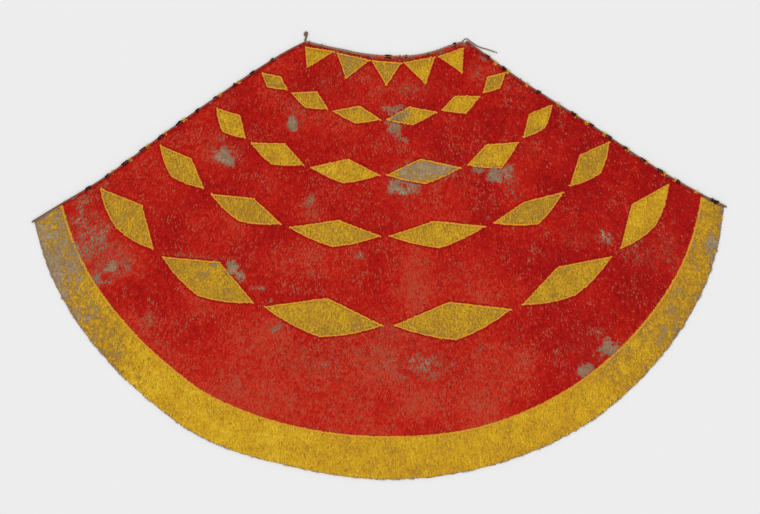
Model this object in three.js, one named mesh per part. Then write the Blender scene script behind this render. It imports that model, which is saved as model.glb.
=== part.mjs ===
// Feathered cloak, laid flat
// Millimetres, +Z up, the neck towards +Y. The cloak lies on the plane z = 0, with the origin
// under the middle of its box. Bearings are degrees from straight down the back, plus to the +X side,
// and radii are measured from the apex, the point where the lines of the two front edges meet.

import * as THREE from 'three';

// Layers
const SEAM = 0.3;
const NET_THICK = 1.5;
const PILE_THICK = 6.2;
const NET_PAST_FEATHERS = 4;

// Plan of the cloak
const APEX = { x: 23.8, y: 924.6 };
const TO_MIDDLE = { x: 0.02, y: 2.32 };
const FRONT = {
  left: { bearing: -56.6, neckRadius: 327, hemRadius: 1434, outward: -1 },
  right: { bearing: 57.0, neckRadius: 325, hemRadius: 1371, outward: 1 },
};

// Radius of the neck edge, which is hollowed most a little right of the middle
const NECK = [
  { bearing: -57, radius: 328.3 },
  { bearing: -54, radius: 315.0 },
  { bearing: -48, radius: 290.2 },
  { bearing: -36, radius: 257.0 },
  { bearing: -24, radius: 240.3 },
  { bearing: -12, radius: 231.6 },
  { bearing: 0, radius: 230.4 },
  { bearing: 12, radius: 236.5 },
  { bearing: 24, radius: 249.4 },
  { bearing: 36, radius: 267.0 },
  { bearing: 48, radius: 291.0 },
  { bearing: 54, radius: 312.9 },
  { bearing: 57, radius: 325.5 },
];

// How far each front edge stands out from a straight line, by its share of the way from neck to hem
const FRONT_SWAY = [
  { along: 0.00, left: 0, right: 0 },
  { along: 0.06, left: 7.5, right: -3 },
  { along: 0.12, left: 11, right: -7 },
  { along: 0.25, left: 11.5, right: -12 },
  { along: 0.50, left: 4.5, right: -9 },
  { along: 0.75, left: -9, right: -12 },
  { along: 0.92, left: -2, right: -2 },
  { along: 1.00, left: 1, right: 8 },
];

// Radius of the hem and width of the yellow border
const HEM = [
  { bearing: -60, radius: 1403, border: 104 },
  { bearing: -48, radius: 1514, border: 120 },
  { bearing: -36, radius: 1589, border: 130 },
  { bearing: -30, radius: 1619, border: 133 },
  { bearing: -24, radius: 1649, border: 136 },
  { bearing: -18, radius: 1660, border: 137 },
  { bearing: -12, radius: 1661, border: 133 },
  { bearing: 0, radius: 1674, border: 143 },
  { bearing: 12, radius: 1666, border: 134 },
  { bearing: 24, radius: 1637, border: 132 },
  { bearing: 36, radius: 1572, border: 121 },
  { bearing: 48, radius: 1476, border: 103 },
  { bearing: 60, radius: 1336, border: 81 },
];
const HEM_STEPS = 72;
const NECK_STEPS = 44;
const FRONT_STEPS = 60;

// Rows of lozenges: the seven bearings between which the six lie, the radius of the row at each,
// how far each lozenge's upper and lower corner stand off the line between its tips, and how far
// its lower sides bow out
const LOZENGE_TIP_GAP = 1.7;
const LOZENGE_SIDE_STEPS = 4;
const LOZENGE_ROWS = [
  {
    bearings: [-56.7, -43.1, -24.5, -1.0, 23.3, 41.7, 55.6],
    radii: [513, 482, 457, 449, 457, 487, 497],
    upper: [27, 41, 34, 32, 31, 31],
    lower: [32, 28, 29, 32, 41, 28],
    bow: 2,
  },
  {
    bearings: [-55.5, -42.1, -23.9, -0.9, 23.7, 41.5, 55.8],
    radii: [708, 700, 664, 638, 664, 692, 692],
    upper: [41, 43, 44, 45, 38, 39],
    lower: [42, 42, 42, 43, 58, 34],
    bow: 4,
  },
  {
    bearings: [-56.1, -41.3, -23.0, -0.3, 23.6, 41.9, 56.4],
    radii: [938, 922, 880, 845, 880, 921, 923],
    upper: [43, 46, 41, 36, 24, 46],
    lower: [50, 48, 53, 59, 67, 50],
    bow: 6,
  },
  {
    bearings: [-55.9, -40.7, -21.9, 0.4, 22.3, 41.0, 56.2],
    radii: [1189, 1192, 1163, 1150, 1175, 1195, 1171],
    upper: [71, 73, 63, 54, 57, 60],
    lower: [48, 65, 73, 79, 58, 50],
    bow: 9,
  },
];

// Triangles hung from the neck: bearings of the upper corners and how far each lies below the neck
// edge, and the bearing and radius of the lower point
const NECK_TRIANGLES = [
  { from: -54.0, fromBelow: 26, to: -38.9, toBelow: 14, point: -44.5, radius: 384 },
  { from: -37.4, fromBelow: 17, to: -12.5, toBelow: 20, point: -23.7, radius: 339 },
  { from: -11.5, fromBelow: 21, to: 11.8, toBelow: 24, point: 0.3, radius: 334 },
  { from: 12.8, fromBelow: 23, to: 35.6, toBelow: 21.5, point: 22.4, radius: 356 },
  { from: 37.1, fromBelow: 24, to: 52.5, toBelow: 26, point: 41.8, radius: 391 },
];

// Places where the pile is lost and the net shows
const BALD_SPOTS = [
  { x: 779, y: -295, wide: 56, high: 42 },
  { x: 701, y: -374, wide: 44, high: 34 },
  { x: -528, y: 354, wide: 58, high: 48 },
  { x: -472, y: -20, wide: 30, high: 44 },
  { x: 402, y: 276, wide: 60, high: 38 },
  { x: -297, y: 457, wide: 32, high: 56 },
  { x: 61, y: 235, wide: 70, high: 44 },
  { x: 53, y: 438, wide: 32, high: 34 },
  { x: 51, y: 514, wide: 44, high: 24 },
];
const BALD_SPOT_POINTS = 14;
const BALD_SPOT_LOBES = 3;
const BALD_SPOT_UNEVEN = 0.12;

// Bindings
const BINDING = { width: 8, height: 8, endWidth: 6, endHeight: 6, pastHem: 10, stepLength: 18 };
const NECK_CORD = { width: 7.5, height: 8, shortAtTie: 12 };
const TUFT = { length: 28, outward: 4, rise: 2, stations: [-0.5, -0.25, 0, 0.25, 0.5] };
const TUFTS = {
  left: { first: 141, spacing: 76, count: 11, lost: [] },
  right: { first: 96, spacing: 70.5, count: 14, lost: [2, 4, 12] },
};

// Ties at the two ends of the neck, by hand
const TIE = { diameter: 3.5, sides: 8, stepLength: 9 };
const LEFT_TIE_ROUTE = [[-252.3, 743.5], [-253.2, 746.6], [-252.2, 750.4], [-250.4, 753.8], [-249.8, 757.0]];
const LEFT_KNOT = { x: -249.6, y: 766.5, wide: 14, long: 18, high: 8 };
const RIGHT_TIE_ROUTE = [
  [284.5, 741.2], [286.6, 744.2], [289.3, 747.5], [292.8, 750.1], [297.0, 750.9], [301.3, 749.7],
  [305.4, 746.7], [309.6, 742.8], [314.9, 739.2], [321.8, 734.4], [329.2, 729.4], [337.5, 725.0],
  [352.0, 719.4], [367.3, 715.3], [382.2, 710.0], [396.5, 705.1],
];
const RIGHT_KNOT = { x: 400.4, y: 703.8, wide: 7, long: 6, high: 5 };

const FEATHER_RED = '#a52a1e';
const FEATHER_YELLOW = '#caa22c';
const FIBRE_BROWN = '#8f7458';
const CORD_OLIVE = '#6f6146';

// Value of one column of a table at a place between its rows, on a smooth curve
function smoothValue(table, key, column, place) {
  const last = table.length - 2;
  const found = table.findIndex((row, index) => index > 0 && place <= row[key]);
  const i = found < 0 ? last : Math.min(found - 1, last);
  const a = table[i];
  const b = table[i + 1];
  const before = table[Math.max(i - 1, 0)];
  const after = table[Math.min(i + 2, table.length - 1)];
  const span = b[key] - a[key];
  const t = (place - a[key]) / span;
  const slopeIn = (b[column] - before[column]) / (b[key] - before[key]) * span;
  const slopeOut = (after[column] - a[column]) / (after[key] - a[key]) * span;
  return a[column] * (2 * t ** 3 - 3 * t ** 2 + 1) + slopeIn * (t ** 3 - 2 * t ** 2 + t)
    + b[column] * (3 * t ** 2 - 2 * t ** 3) + slopeOut * (t ** 3 - t ** 2);
}

// Point at a bearing and a radius from the apex
function polarPoint(bearing, radius) {
  const angle = THREE.MathUtils.degToRad(bearing);
  return new THREE.Vector2(APEX.x + radius * Math.sin(angle), APEX.y - radius * Math.cos(angle));
}

function neckRadius(bearing) {
  return smoothValue(NECK, 'bearing', 'radius', bearing);
}

function hemRadius(bearing) {
  return smoothValue(HEM, 'bearing', 'radius', bearing);
}

function borderWidth(bearing) {
  return smoothValue(HEM, 'bearing', 'border', bearing);
}

// Bearing of a front edge at a radius, moved in from the edge by an inset
function frontBearing(side, radius, inset) {
  const edge = FRONT[side];
  const along = (radius - edge.neckRadius) / (edge.hemRadius - edge.neckRadius);
  const sway = smoothValue(FRONT_SWAY, 'along', side, THREE.MathUtils.clamp(along, 0, 1));
  const turn = THREE.MathUtils.radToDeg(Math.asin((sway - inset) / radius));
  return edge.bearing + edge.outward * turn;
}

// Bearing where a front edge meets a line that is given by its radius at each bearing
function cornerBearing(side, inset, radiusAt) {
  let bearing = FRONT[side].bearing;
  for (let pass = 0; pass < 8; pass += 1) {
    bearing = frontBearing(side, radiusAt(bearing), inset);
  }
  return bearing;
}

// Points along a line across the cloak, from the left front edge to the right one
function lineAcross(radiusAt, leftInset, rightInset, steps) {
  const from = cornerBearing('left', leftInset, radiusAt);
  const to = cornerBearing('right', rightInset, radiusAt);
  const points = [];
  for (let i = 0; i <= steps; i += 1) {
    const bearing = THREE.MathUtils.lerp(from, to, i / steps);
    points.push(polarPoint(bearing, radiusAt(bearing)));
  }
  return points;
}

// Points along a front edge between two such lines, without the two end points
function lineDown(side, inset, upperRadiusAt, lowerRadiusAt, steps) {
  const upper = upperRadiusAt(cornerBearing(side, inset, upperRadiusAt));
  const lower = lowerRadiusAt(cornerBearing(side, inset, lowerRadiusAt));
  const points = [];
  for (let i = 1; i < steps; i += 1) {
    const radius = THREE.MathUtils.lerp(upper, lower, i / steps);
    points.push(polarPoint(frontBearing(side, radius, inset), radius));
  }
  return points;
}

// Outline of a panel between an upper and a lower line and the two front edges
function panelOutline(upperRadiusAt, lowerRadiusAt, upperSteps, frontSteps) {
  const inset = BINDING.width + SEAM;
  return [
    ...lineAcross(lowerRadiusAt, inset, inset, HEM_STEPS),
    ...lineDown('right', inset, upperRadiusAt, lowerRadiusAt, frontSteps).reverse(),
    ...lineAcross(upperRadiusAt, inset, inset, upperSteps).reverse(),
    ...lineDown('left', inset, upperRadiusAt, lowerRadiusAt, frontSteps),
  ];
}

// Flat slab of a given thickness over an outline, with holes through it
function slab(outline, holes, bottom, thickness) {
  const shape = new THREE.Shape(outline);
  shape.holes = holes.map((hole) => new THREE.Path(hole));
  const geometry = new THREE.ExtrudeGeometry(shape, { depth: thickness, bevelEnabled: false });
  return geometry.translate(0, 0, bottom);
}

// Outline of a convex figure drawn in from its edge on all sides
function drawnIn(outline, amount) {
  const centre = outline.reduce((sum, point) => sum.add(point), new THREE.Vector2());
  centre.divideScalar(outline.length);
  let clear = Infinity;
  outline.forEach((point, i) => {
    const side = outline[(i + 1) % outline.length].clone().sub(point);
    const arm = centre.clone().sub(point);
    clear = Math.min(clear, Math.abs(side.cross(arm)) / side.length());
  });
  return outline.map((point) => point.clone().lerp(centre, amount / clear));
}

// Side of a figure that bows out, to the right of its run, without its last point
function bowedSide(from, to, bow) {
  const across = new THREE.Vector2(to.y - from.y, from.x - to.x).normalize();
  const points = [];
  for (let i = 0; i < LOZENGE_SIDE_STEPS; i += 1) {
    const t = i / LOZENGE_SIDE_STEPS;
    points.push(from.clone().lerp(to, t).addScaledVector(across, 4 * bow * t * (1 - t)));
  }
  return points;
}

function lozengeOutline(row, place) {
  const leftBearing = row.bearings[place] + LOZENGE_TIP_GAP / 2;
  const rightBearing = row.bearings[place + 1] - LOZENGE_TIP_GAP / 2;
  const middle = (leftBearing + rightBearing) / 2;
  const halfAngle = THREE.MathUtils.degToRad((rightBearing - leftBearing) / 2);
  const middleRadius = (row.radii[place] + row.radii[place + 1]) / 2 * Math.cos(halfAngle);
  const leftTip = polarPoint(leftBearing, row.radii[place]);
  const rightTip = polarPoint(rightBearing, row.radii[place + 1]);
  const lowerCorner = polarPoint(middle, middleRadius + row.lower[place]);
  const upperCorner = polarPoint(middle, middleRadius - row.upper[place]);
  return [
    ...bowedSide(leftTip, lowerCorner, row.bow),
    ...bowedSide(lowerCorner, rightTip, row.bow),
    rightTip,
    upperCorner,
  ];
}

function triangleOutline(triangle) {
  return [
    polarPoint(triangle.from, neckRadius(triangle.from) + triangle.fromBelow),
    polarPoint(triangle.point, triangle.radius),
    polarPoint(triangle.to, neckRadius(triangle.to) + triangle.toBelow),
  ];
}

function baldSpotOutline(spot) {
  const points = [];
  for (let i = 0; i < BALD_SPOT_POINTS; i += 1) {
    const angle = 2 * Math.PI * i / BALD_SPOT_POINTS;
    const reach = 0.5 * (1 + BALD_SPOT_UNEVEN * Math.sin(BALD_SPOT_LOBES * angle + spot.x));
    points.push(new THREE.Vector2(
      spot.x + spot.wide * reach * Math.cos(angle),
      spot.y + spot.high * reach * Math.sin(angle),
    ));
  }
  return points;
}

// Section of a bound cord that lies flat underneath: share of the way across, share of the height
const BINDING_SECTION = [[0, 0], [1, 0], [1, 0.45], [0.85, 0.82], [0.5, 1], [0.15, 0.82], [0, 0.45]];

// Closed strip through stations that each give the outer and inner point and the height there
function boundStrip(stations) {
  const sides = BINDING_SECTION.length;
  const positions = [];
  const faces = [];
  stations.forEach(({ outer, inner, height }) => {
    BINDING_SECTION.forEach(([across, up]) => {
      const point = outer.clone().lerp(inner, across);
      positions.push(point.x, point.y, up * height);
    });
  });
  for (let i = 0; i < stations.length - 1; i += 1) {
    for (let j = 0; j < sides; j += 1) {
      const a = i * sides + j;
      const b = i * sides + (j + 1) % sides;
      faces.push(a, b, b + sides, a, b + sides, a + sides);
    }
  }
  const end = (stations.length - 1) * sides;
  for (let j = 1; j < sides - 1; j += 1) {
    faces.push(0, j + 1, j);
    faces.push(end, end + j, end + j + 1);
  }
  const geometry = new THREE.BufferGeometry();
  geometry.setAttribute('position', new THREE.Float32BufferAttribute(positions, 3));
  geometry.setIndex(faces);
  return geometry;
}

// Turns a closed mesh the right way out, whichever way its stations ran
function facingOut(geometry) {
  const at = geometry.getAttribute('position');
  const index = geometry.getIndex();
  const corners = [new THREE.Vector3(), new THREE.Vector3(), new THREE.Vector3()];
  let volume = 0;
  for (let i = 0; i < index.count; i += 3) {
    corners.forEach((corner, k) => corner.fromBufferAttribute(at, index.getX(i + k)));
    volume += corners[0].dot(corners[1].clone().cross(corners[2]));
  }
  if (volume < 0) {
    for (let i = 0; i < index.count; i += 3) {
      const second = index.getX(i + 1);
      index.setX(i + 1, index.getX(i + 2));
      index.setX(i + 2, second);
    }
  }
  geometry.computeVertexNormals();
  return geometry;
}

// Share of a tuft's swelling at a distance along the front edge
function tuftSwell(tufts, distance) {
  let swell = 0;
  for (let i = 0; i < tufts.count; i += 1) {
    const off = Math.abs(distance - tufts.first - i * tufts.spacing) / (TUFT.length / 2);
    if (!tufts.lost.includes(i) && off < 1) {
      swell = Math.max(swell, Math.cos(off * Math.PI / 2));
    }
  }
  return swell;
}

// Distances along a front edge at which its binding has a station: through each tuft's swelling,
// and at even steps between the tufts
function bindingDistances(tufts, length) {
  const distances = [0];
  const reachTo = (distance) => {
    const from = distances[distances.length - 1];
    const steps = Math.ceil((distance - from) / BINDING.stepLength);
    for (let i = 1; i <= steps; i += 1) {
      distances.push(THREE.MathUtils.lerp(from, distance, i / steps));
    }
  };
  for (let i = 0; i < tufts.count; i += 1) {
    if (!tufts.lost.includes(i)) {
      const top = tufts.first + i * tufts.spacing;
      TUFT.stations.forEach((share) => reachTo(top + share * TUFT.length));
    }
  }
  reachTo(length);
  return distances;
}

// Binding of one front edge, from under the neck cord to its end past the hem
function frontBinding(side) {
  const below = (bearing) => neckRadius(bearing) + NECK_CORD.width + SEAM;
  const start = below(cornerBearing(side, 0, below));
  const neck = neckRadius(cornerBearing(side, 0, neckRadius));
  const hem = hemRadius(cornerBearing(side, 0, hemRadius));
  const stationAt = (radius, outward, inset, height) => ({
    outer: polarPoint(frontBearing(side, radius, -outward), radius),
    inner: polarPoint(frontBearing(side, radius, inset), radius),
    height,
  });
  const stations = bindingDistances(TUFTS[side], hem - neck).map((distance) => {
    const swell = tuftSwell(TUFTS[side], distance);
    const radius = Math.max(neck + distance, start);
    return stationAt(radius, swell * TUFT.outward, BINDING.width, BINDING.height + swell * TUFT.rise);
  });
  const slack = (BINDING.width - BINDING.endWidth) / 2;
  const endInset = BINDING.width - slack;
  stations.push(stationAt(hem + BINDING.pastHem / 2, -slack, endInset, BINDING.endHeight));
  stations.push(stationAt(hem + BINDING.pastHem, -slack * 2, endInset - slack, BINDING.endHeight / 2));
  return facingOut(boundStrip(stations));
}

function neckCord() {
  const inner = (bearing) => neckRadius(bearing) + NECK_CORD.width;
  const outerPoints = lineAcross(neckRadius, 0, NECK_CORD.shortAtTie, NECK_STEPS);
  const innerPoints = lineAcross(inner, 0, NECK_CORD.shortAtTie, NECK_STEPS);
  const stations = outerPoints.map((outer, i) => ({
    outer,
    inner: innerPoints[i],
    height: NECK_CORD.height,
  }));
  return facingOut(boundStrip(stations));
}

function tieTube(route) {
  const radius = TIE.diameter / 2;
  const curve = new THREE.CatmullRomCurve3(route.map(([x, y]) => new THREE.Vector3(x, y, radius + 0.1)));
  const section = new THREE.Shape();
  for (let i = 0; i < TIE.sides; i += 1) {
    const angle = 2 * Math.PI * (i + 0.5) / TIE.sides;
    const draw = i === 0 ? 'moveTo' : 'lineTo';
    section[draw](radius * Math.cos(angle), radius * Math.sin(angle));
  }
  const steps = Math.ceil(curve.getLength() / TIE.stepLength);
  return new THREE.ExtrudeGeometry(section, { steps, extrudePath: curve, bevelEnabled: false });
}

function tieKnot(knot) {
  const geometry = new THREE.IcosahedronGeometry(0.5, 2);
  geometry.scale(knot.wide, knot.long, knot.high);
  return geometry.translate(knot.x, knot.y, knot.high / 2);
}

function finish(color, roughness) {
  return new THREE.MeshStandardMaterial({ color, roughness, metalness: 0 });
}

const cloak = new THREE.Group();
cloak.position.set(TO_MIDDLE.x, TO_MIDDLE.y, 0);

function addPiece(name, geometry, color, roughness) {
  const mesh = new THREE.Mesh(geometry, finish(color, roughness));
  mesh.name = name;
  cloak.add(mesh);
}

const pileBottom = NET_THICK + SEAM;
const underNeckCord = (bearing) => neckRadius(bearing) + NECK_CORD.width + SEAM;
const featherHem = (bearing) => hemRadius(bearing) - NET_PAST_FEATHERS;
const borderInner = (bearing) => featherHem(bearing) - borderWidth(bearing);
const fieldOuter = (bearing) => borderInner(bearing) - SEAM;

// Net foundation
addPiece('net', slab(panelOutline(underNeckCord, hemRadius, NECK_STEPS, FRONT_STEPS), [], 0, NET_THICK),
  FIBRE_BROWN, 0.95);

// Yellow figures and the red field round them
const figures = [];
LOZENGE_ROWS.forEach((row, rowIndex) => {
  for (let place = 0; place < row.upper.length; place += 1) {
    figures.push({ name: `lozenge_r${rowIndex + 1}_${place + 1}`, outline: lozengeOutline(row, place) });
  }
});
NECK_TRIANGLES.forEach((triangle, i) => {
  figures.push({ name: `neck_triangle_${i + 1}`, outline: triangleOutline(triangle) });
});
const fieldHoles = [...figures.map((figure) => figure.outline), ...BALD_SPOTS.map(baldSpotOutline)];
const fieldOutline = panelOutline(underNeckCord, fieldOuter, NECK_STEPS, FRONT_STEPS);
addPiece('red_field', slab(fieldOutline, fieldHoles, pileBottom, PILE_THICK), FEATHER_RED, 0.85);
figures.forEach(({ name, outline }) => {
  addPiece(name, slab(drawnIn(outline, SEAM), [], pileBottom, PILE_THICK), FEATHER_YELLOW, 0.85);
});

// Yellow border
const BORDER_FRONT_STEPS = 3;
addPiece('hem_band', slab(panelOutline(borderInner, featherHem, HEM_STEPS, BORDER_FRONT_STEPS), [],
  pileBottom, PILE_THICK), FEATHER_YELLOW, 0.85);

// Bindings and ties
addPiece('front_edge_left', frontBinding('left'), CORD_OLIVE, 0.9);
addPiece('front_edge_right', frontBinding('right'), CORD_OLIVE, 0.9);
addPiece('neck_cord', neckCord(), CORD_OLIVE, 0.9);
addPiece('neck_tie_left', tieTube(LEFT_TIE_ROUTE), CORD_OLIVE, 0.9);
addPiece('neck_knot_left', tieKnot(LEFT_KNOT), CORD_OLIVE, 0.9);
addPiece('neck_tie_right', tieTube(RIGHT_TIE_ROUTE), CORD_OLIVE, 0.9);
addPiece('neck_knot_right', tieKnot(RIGHT_KNOT), CORD_OLIVE, 0.9);

export default cloak;
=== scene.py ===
import math

import bmesh
import bpy
import numpy as np
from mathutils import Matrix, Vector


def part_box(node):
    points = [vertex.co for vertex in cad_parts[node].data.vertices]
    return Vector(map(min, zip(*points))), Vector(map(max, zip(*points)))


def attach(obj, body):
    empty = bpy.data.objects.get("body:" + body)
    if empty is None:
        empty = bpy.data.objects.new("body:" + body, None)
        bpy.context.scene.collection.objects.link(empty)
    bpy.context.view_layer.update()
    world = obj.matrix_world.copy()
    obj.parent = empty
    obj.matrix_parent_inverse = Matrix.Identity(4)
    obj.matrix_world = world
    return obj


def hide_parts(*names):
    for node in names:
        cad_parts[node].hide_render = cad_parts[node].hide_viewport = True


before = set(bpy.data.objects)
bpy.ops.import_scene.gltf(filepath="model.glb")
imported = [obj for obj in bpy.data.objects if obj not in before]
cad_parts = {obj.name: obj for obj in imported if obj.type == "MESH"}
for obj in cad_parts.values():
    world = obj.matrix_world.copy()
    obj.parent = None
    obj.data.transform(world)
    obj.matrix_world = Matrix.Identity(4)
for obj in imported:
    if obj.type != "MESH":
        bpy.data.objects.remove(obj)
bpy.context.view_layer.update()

# View
# The cloak lies flat and is seen from straight above, on a plain pale surface, in soft light
# that comes from all round with a little more from the lower left.
VIEW_WIDTH = 2.587
VIEW_CENTRE = (0.0034, 0.0100)
PILE_TOP = 0.008
LENS = 85
SENSOR = 36
# One millimetre in the frame, whose unit is the metre
MM = 0.001
FLOOR_SIZE = 60
FLOOR_DROP = 0.5 * MM
FLOOR_GREY = 0.80
FLOOR_ROUGHNESS = 0.9
SKY_STRENGTH = 0.73
SUN_STRENGTH = 1.17
SUN_TURN = (math.radians(26), math.radians(-9), math.radians(-28))
SUN_WIDTH = math.radians(24)

bpy.ops.object.select_all(action="DESELECT")
bpy.ops.object.camera_add(location=(*VIEW_CENTRE, PILE_TOP + VIEW_WIDTH * LENS / SENSOR))
camera = bpy.context.object
camera.data.lens = LENS
camera.data.sensor_width = SENSOR
bpy.context.scene.camera = camera

bpy.ops.object.light_add(type="SUN", rotation=SUN_TURN)
sun = bpy.context.object
sun.data.energy = SUN_STRENGTH
sun.data.angle = SUN_WIDTH

sky = bpy.data.worlds.new("soft_light")
sky.use_nodes = True
sky.node_tree.nodes["Background"].inputs["Color"].default_value = (1, 1, 1, 1)
sky.node_tree.nodes["Background"].inputs["Strength"].default_value = SKY_STRENGTH
bpy.context.scene.world = sky
bpy.context.scene.view_settings.view_transform = "Standard"

bpy.ops.mesh.primitive_plane_add(size=FLOOR_SIZE, location=(0, 0, -FLOOR_DROP))
floor = bpy.context.object
floor.name = "floor"
floor_paint = bpy.data.materials.new("pale_floor")
floor_paint.use_nodes = True
floor_shader = floor_paint.node_tree.nodes["Principled BSDF"]
floor_shader.inputs["Base Color"].default_value = (FLOOR_GREY, FLOOR_GREY, FLOOR_GREY, 1)
floor_shader.inputs["Roughness"].default_value = FLOOR_ROUGHNESS
floor_shader.inputs["Specular IOR Level"].default_value = 0.1
floor.data.materials.append(floor_paint)

# Neck ties
# The two free ends of the neck cord, laid up from two plies of twisted bark fibre. The left one is
# short and doubled and ends in a knot of three loops. The right one lies over the front edge and
# ends in a small round knot.
TIE_DIAMETER = 4.2 * MM
TIE_HEIGHT = TIE_DIAMETER / 2 + 0.1 * MM
TIE_LAY = 9 * MM
TIE_STEP = 1.2 * MM
# How far the frame moves each point of the part's own drawing, which the routes are in
DRAWING_MIDDLE = np.array([0.02, 2.32, 0]) * MM
LEFT_TIE_ROUTE = [
    (-252.3, 743.5), (-253.2, 746.6), (-252.2, 750.4), (-250.4, 753.8), (-249.8, 757.0),
    (-250.6, 760.4), (-250.9, 763.8), (-249.4, 767.2), (-247.3, 770.0), (-245.6, 772.6),
]
LEFT_STRANDS_APART = 3.2
LEFT_KNOT = {"x": -249.4, "y": 767.2, "wide": 15.0, "long": 20.5, "high": 2.6, "cord": 4.8}
RIGHT_TIE_ROUTE = [
    (284.5, 741.2), (286.6, 744.2), (289.3, 747.5), (292.8, 750.1), (297.0, 750.9),
    (301.3, 749.7), (305.4, 746.7), (309.6, 742.8), (314.9, 739.2), (321.8, 734.4),
    (329.2, 729.4), (337.5, 725.0), (352.0, 719.4), (367.3, 715.3), (382.2, 710.0),
    (396.5, 705.1),
]
RIGHT_KNOT = {"x": 400.4, "y": 703.8, "wide": 5.6, "long": 5.0, "high": 0.8, "cord": 2.8}
# A knot's cord: points along it, how far it swings in and out, share of its round, and room below it
KNOT_POINTS = 90
KNOT_SWING = 0.62
KNOT_ROUND = 0.985
KNOT_RAISED = 0.2
# Colours of the tie fibre: pale on the ply crowns, and dark in the grooves as painted shade
CORD_PALE = (0.275, 0.210, 0.128)
CORD_DARK = (0.080, 0.058, 0.030)
# Depth of the grooves between plies, and how a cord tapers at its last two rings
PLY_GROOVE = 0.12
CORD_TAPER = (0.55, 0.9)


def length_along(points):
    """Distance along a line of points, from its start to each point."""
    return np.concatenate([[0], np.cumsum(np.linalg.norm(np.diff(points, axis=0), axis=1))])


def even_points(points, count):
    """A number of points at even steps along a line."""
    run = length_along(points)
    at = np.linspace(0, run[-1], count)
    return np.stack([np.interp(at, run, column) for column in points.T], axis=1)


def smooth_route(route, step, points_between=12):
    """Points at even steps along a smooth curve through the points of a route."""
    route = np.asarray(route, float)
    padded = np.concatenate([[2 * route[0] - route[1]], route, [2 * route[-1] - route[-2]]])
    share = np.linspace(0, 1, points_between, endpoint=False)[:, None]
    curve = []
    for before, start, end, after in zip(padded, padded[1:], padded[2:], padded[3:]):
        curve.append(0.5 * (
            2 * start + (end - before) * share
            + (2 * before - 5 * start + 4 * end - after) * share ** 2
            + (3 * start - before - 3 * end + after) * share ** 3
        ))
    curve = np.concatenate([*curve, route[-1:]])
    return even_points(curve, math.ceil(length_along(curve)[-1] / step) + 1)


def add_piece(name, points, faces, material, smooth=False):
    """A mesh from arrays, as a piece of the cloak."""
    mesh = bpy.data.meshes.new(name)
    mesh.from_pydata(np.asarray(points), [], faces)
    if smooth:
        mesh.shade_smooth()
    mesh.materials.append(material)
    piece = bpy.data.objects.new(name, mesh)
    bpy.context.scene.collection.objects.link(piece)
    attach(piece, "root")
    return piece


def set_values(piece, name, values):
    """Keeps a number for each point of a piece, for its material to read."""
    attribute = piece.data.attributes.new(name, "FLOAT", "POINT")
    attribute.data.foreach_set("value", np.asarray(values, np.float32))


def laid_cord(name, path, diameter, lay, material, plies=2, sides=12):
    """Tube of twisted plies along a path, closed at both ends. lay is the length of one full turn."""
    ahead = np.gradient(path, axis=0)
    ahead /= np.linalg.norm(ahead, axis=1)[:, None]
    side = np.cross(ahead, (0, 0, 1))
    side /= np.linalg.norm(side, axis=1)[:, None]
    above = np.cross(side, ahead)
    angle = 2 * math.pi * np.arange(sides) / sides
    twist = 2 * math.pi * length_along(path) / lay
    crown = np.cos(plies * (angle[None, :] - twist[:, None]))
    radius = diameter / 2 * (1 - PLY_GROOVE + PLY_GROOVE * crown)
    radius[[0, -1]] *= CORD_TAPER[0]
    radius[[1, -2]] *= CORD_TAPER[1]
    across = (radius * np.cos(angle))[:, :, None] * side[:, None, :]
    upward = (radius * np.sin(angle))[:, :, None] * above[:, None, :]
    rings = path[:, None, :] + across + upward
    points = np.concatenate([rings.reshape(-1, 3), path[:1], path[-1:]])
    count = len(path)
    faces = []
    for i in range(count - 1):
        for j in range(sides):
            k = (j + 1) % sides
            faces.append((i * sides + j, (i + 1) * sides + j, (i + 1) * sides + k, i * sides + k))
    first, last = count * sides, count * sides + 1
    for j in range(sides):
        k = (j + 1) % sides
        faces.append((first, j, k))
        faces.append((last, (count - 1) * sides + k, (count - 1) * sides + j))
    piece = add_piece(name, points, faces, material, smooth=True)
    set_values(piece, "crown", np.concatenate([crown.ravel(), [0, 0]]))
    return piece


def add_node(tree, kind, **settings):
    """A node in a tree, with its settings. A setting that the node itself hasn't is one of its sockets,
    by name or by number as in _0, and takes a value or a link."""
    node = tree.nodes.new(kind)
    for name, value in settings.items():
        if hasattr(node, name):
            setattr(node, name, value)
            continue
        socket = node.inputs[int(name[1:])] if name[0] == "_" else node.inputs[name.replace("_", " ")]
        if isinstance(value, bpy.types.NodeSocket):
            tree.links.new(value, socket)
        else:
            socket.default_value = value
    return node


def ramp(tree, factor, stops):
    """Colours along a factor, from stops of place and colour."""
    node = add_node(tree, "ShaderNodeValToRGB", Fac=factor)
    elements = node.color_ramp.elements
    while len(elements) < len(stops):
        elements.new(0.5)
    for element, (place, colour) in zip(elements, stops):
        element.position = place
        element.color = (*colour, 1)
    return node.outputs["Color"]


def new_group(name, inputs, outputs):
    """An empty shader node group with named number sockets."""
    group = bpy.data.node_groups.new(name, "ShaderNodeTree")
    for socket, value in inputs.items():
        made = group.interface.new_socket(socket, in_out="INPUT", socket_type="NodeSocketFloat")
        made.default_value = value
    for socket in outputs:
        group.interface.new_socket(socket, in_out="OUTPUT", socket_type="NodeSocketFloat")
    return group, group.nodes.new("NodeGroupInput"), group.nodes.new("NodeGroupOutput")


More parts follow.
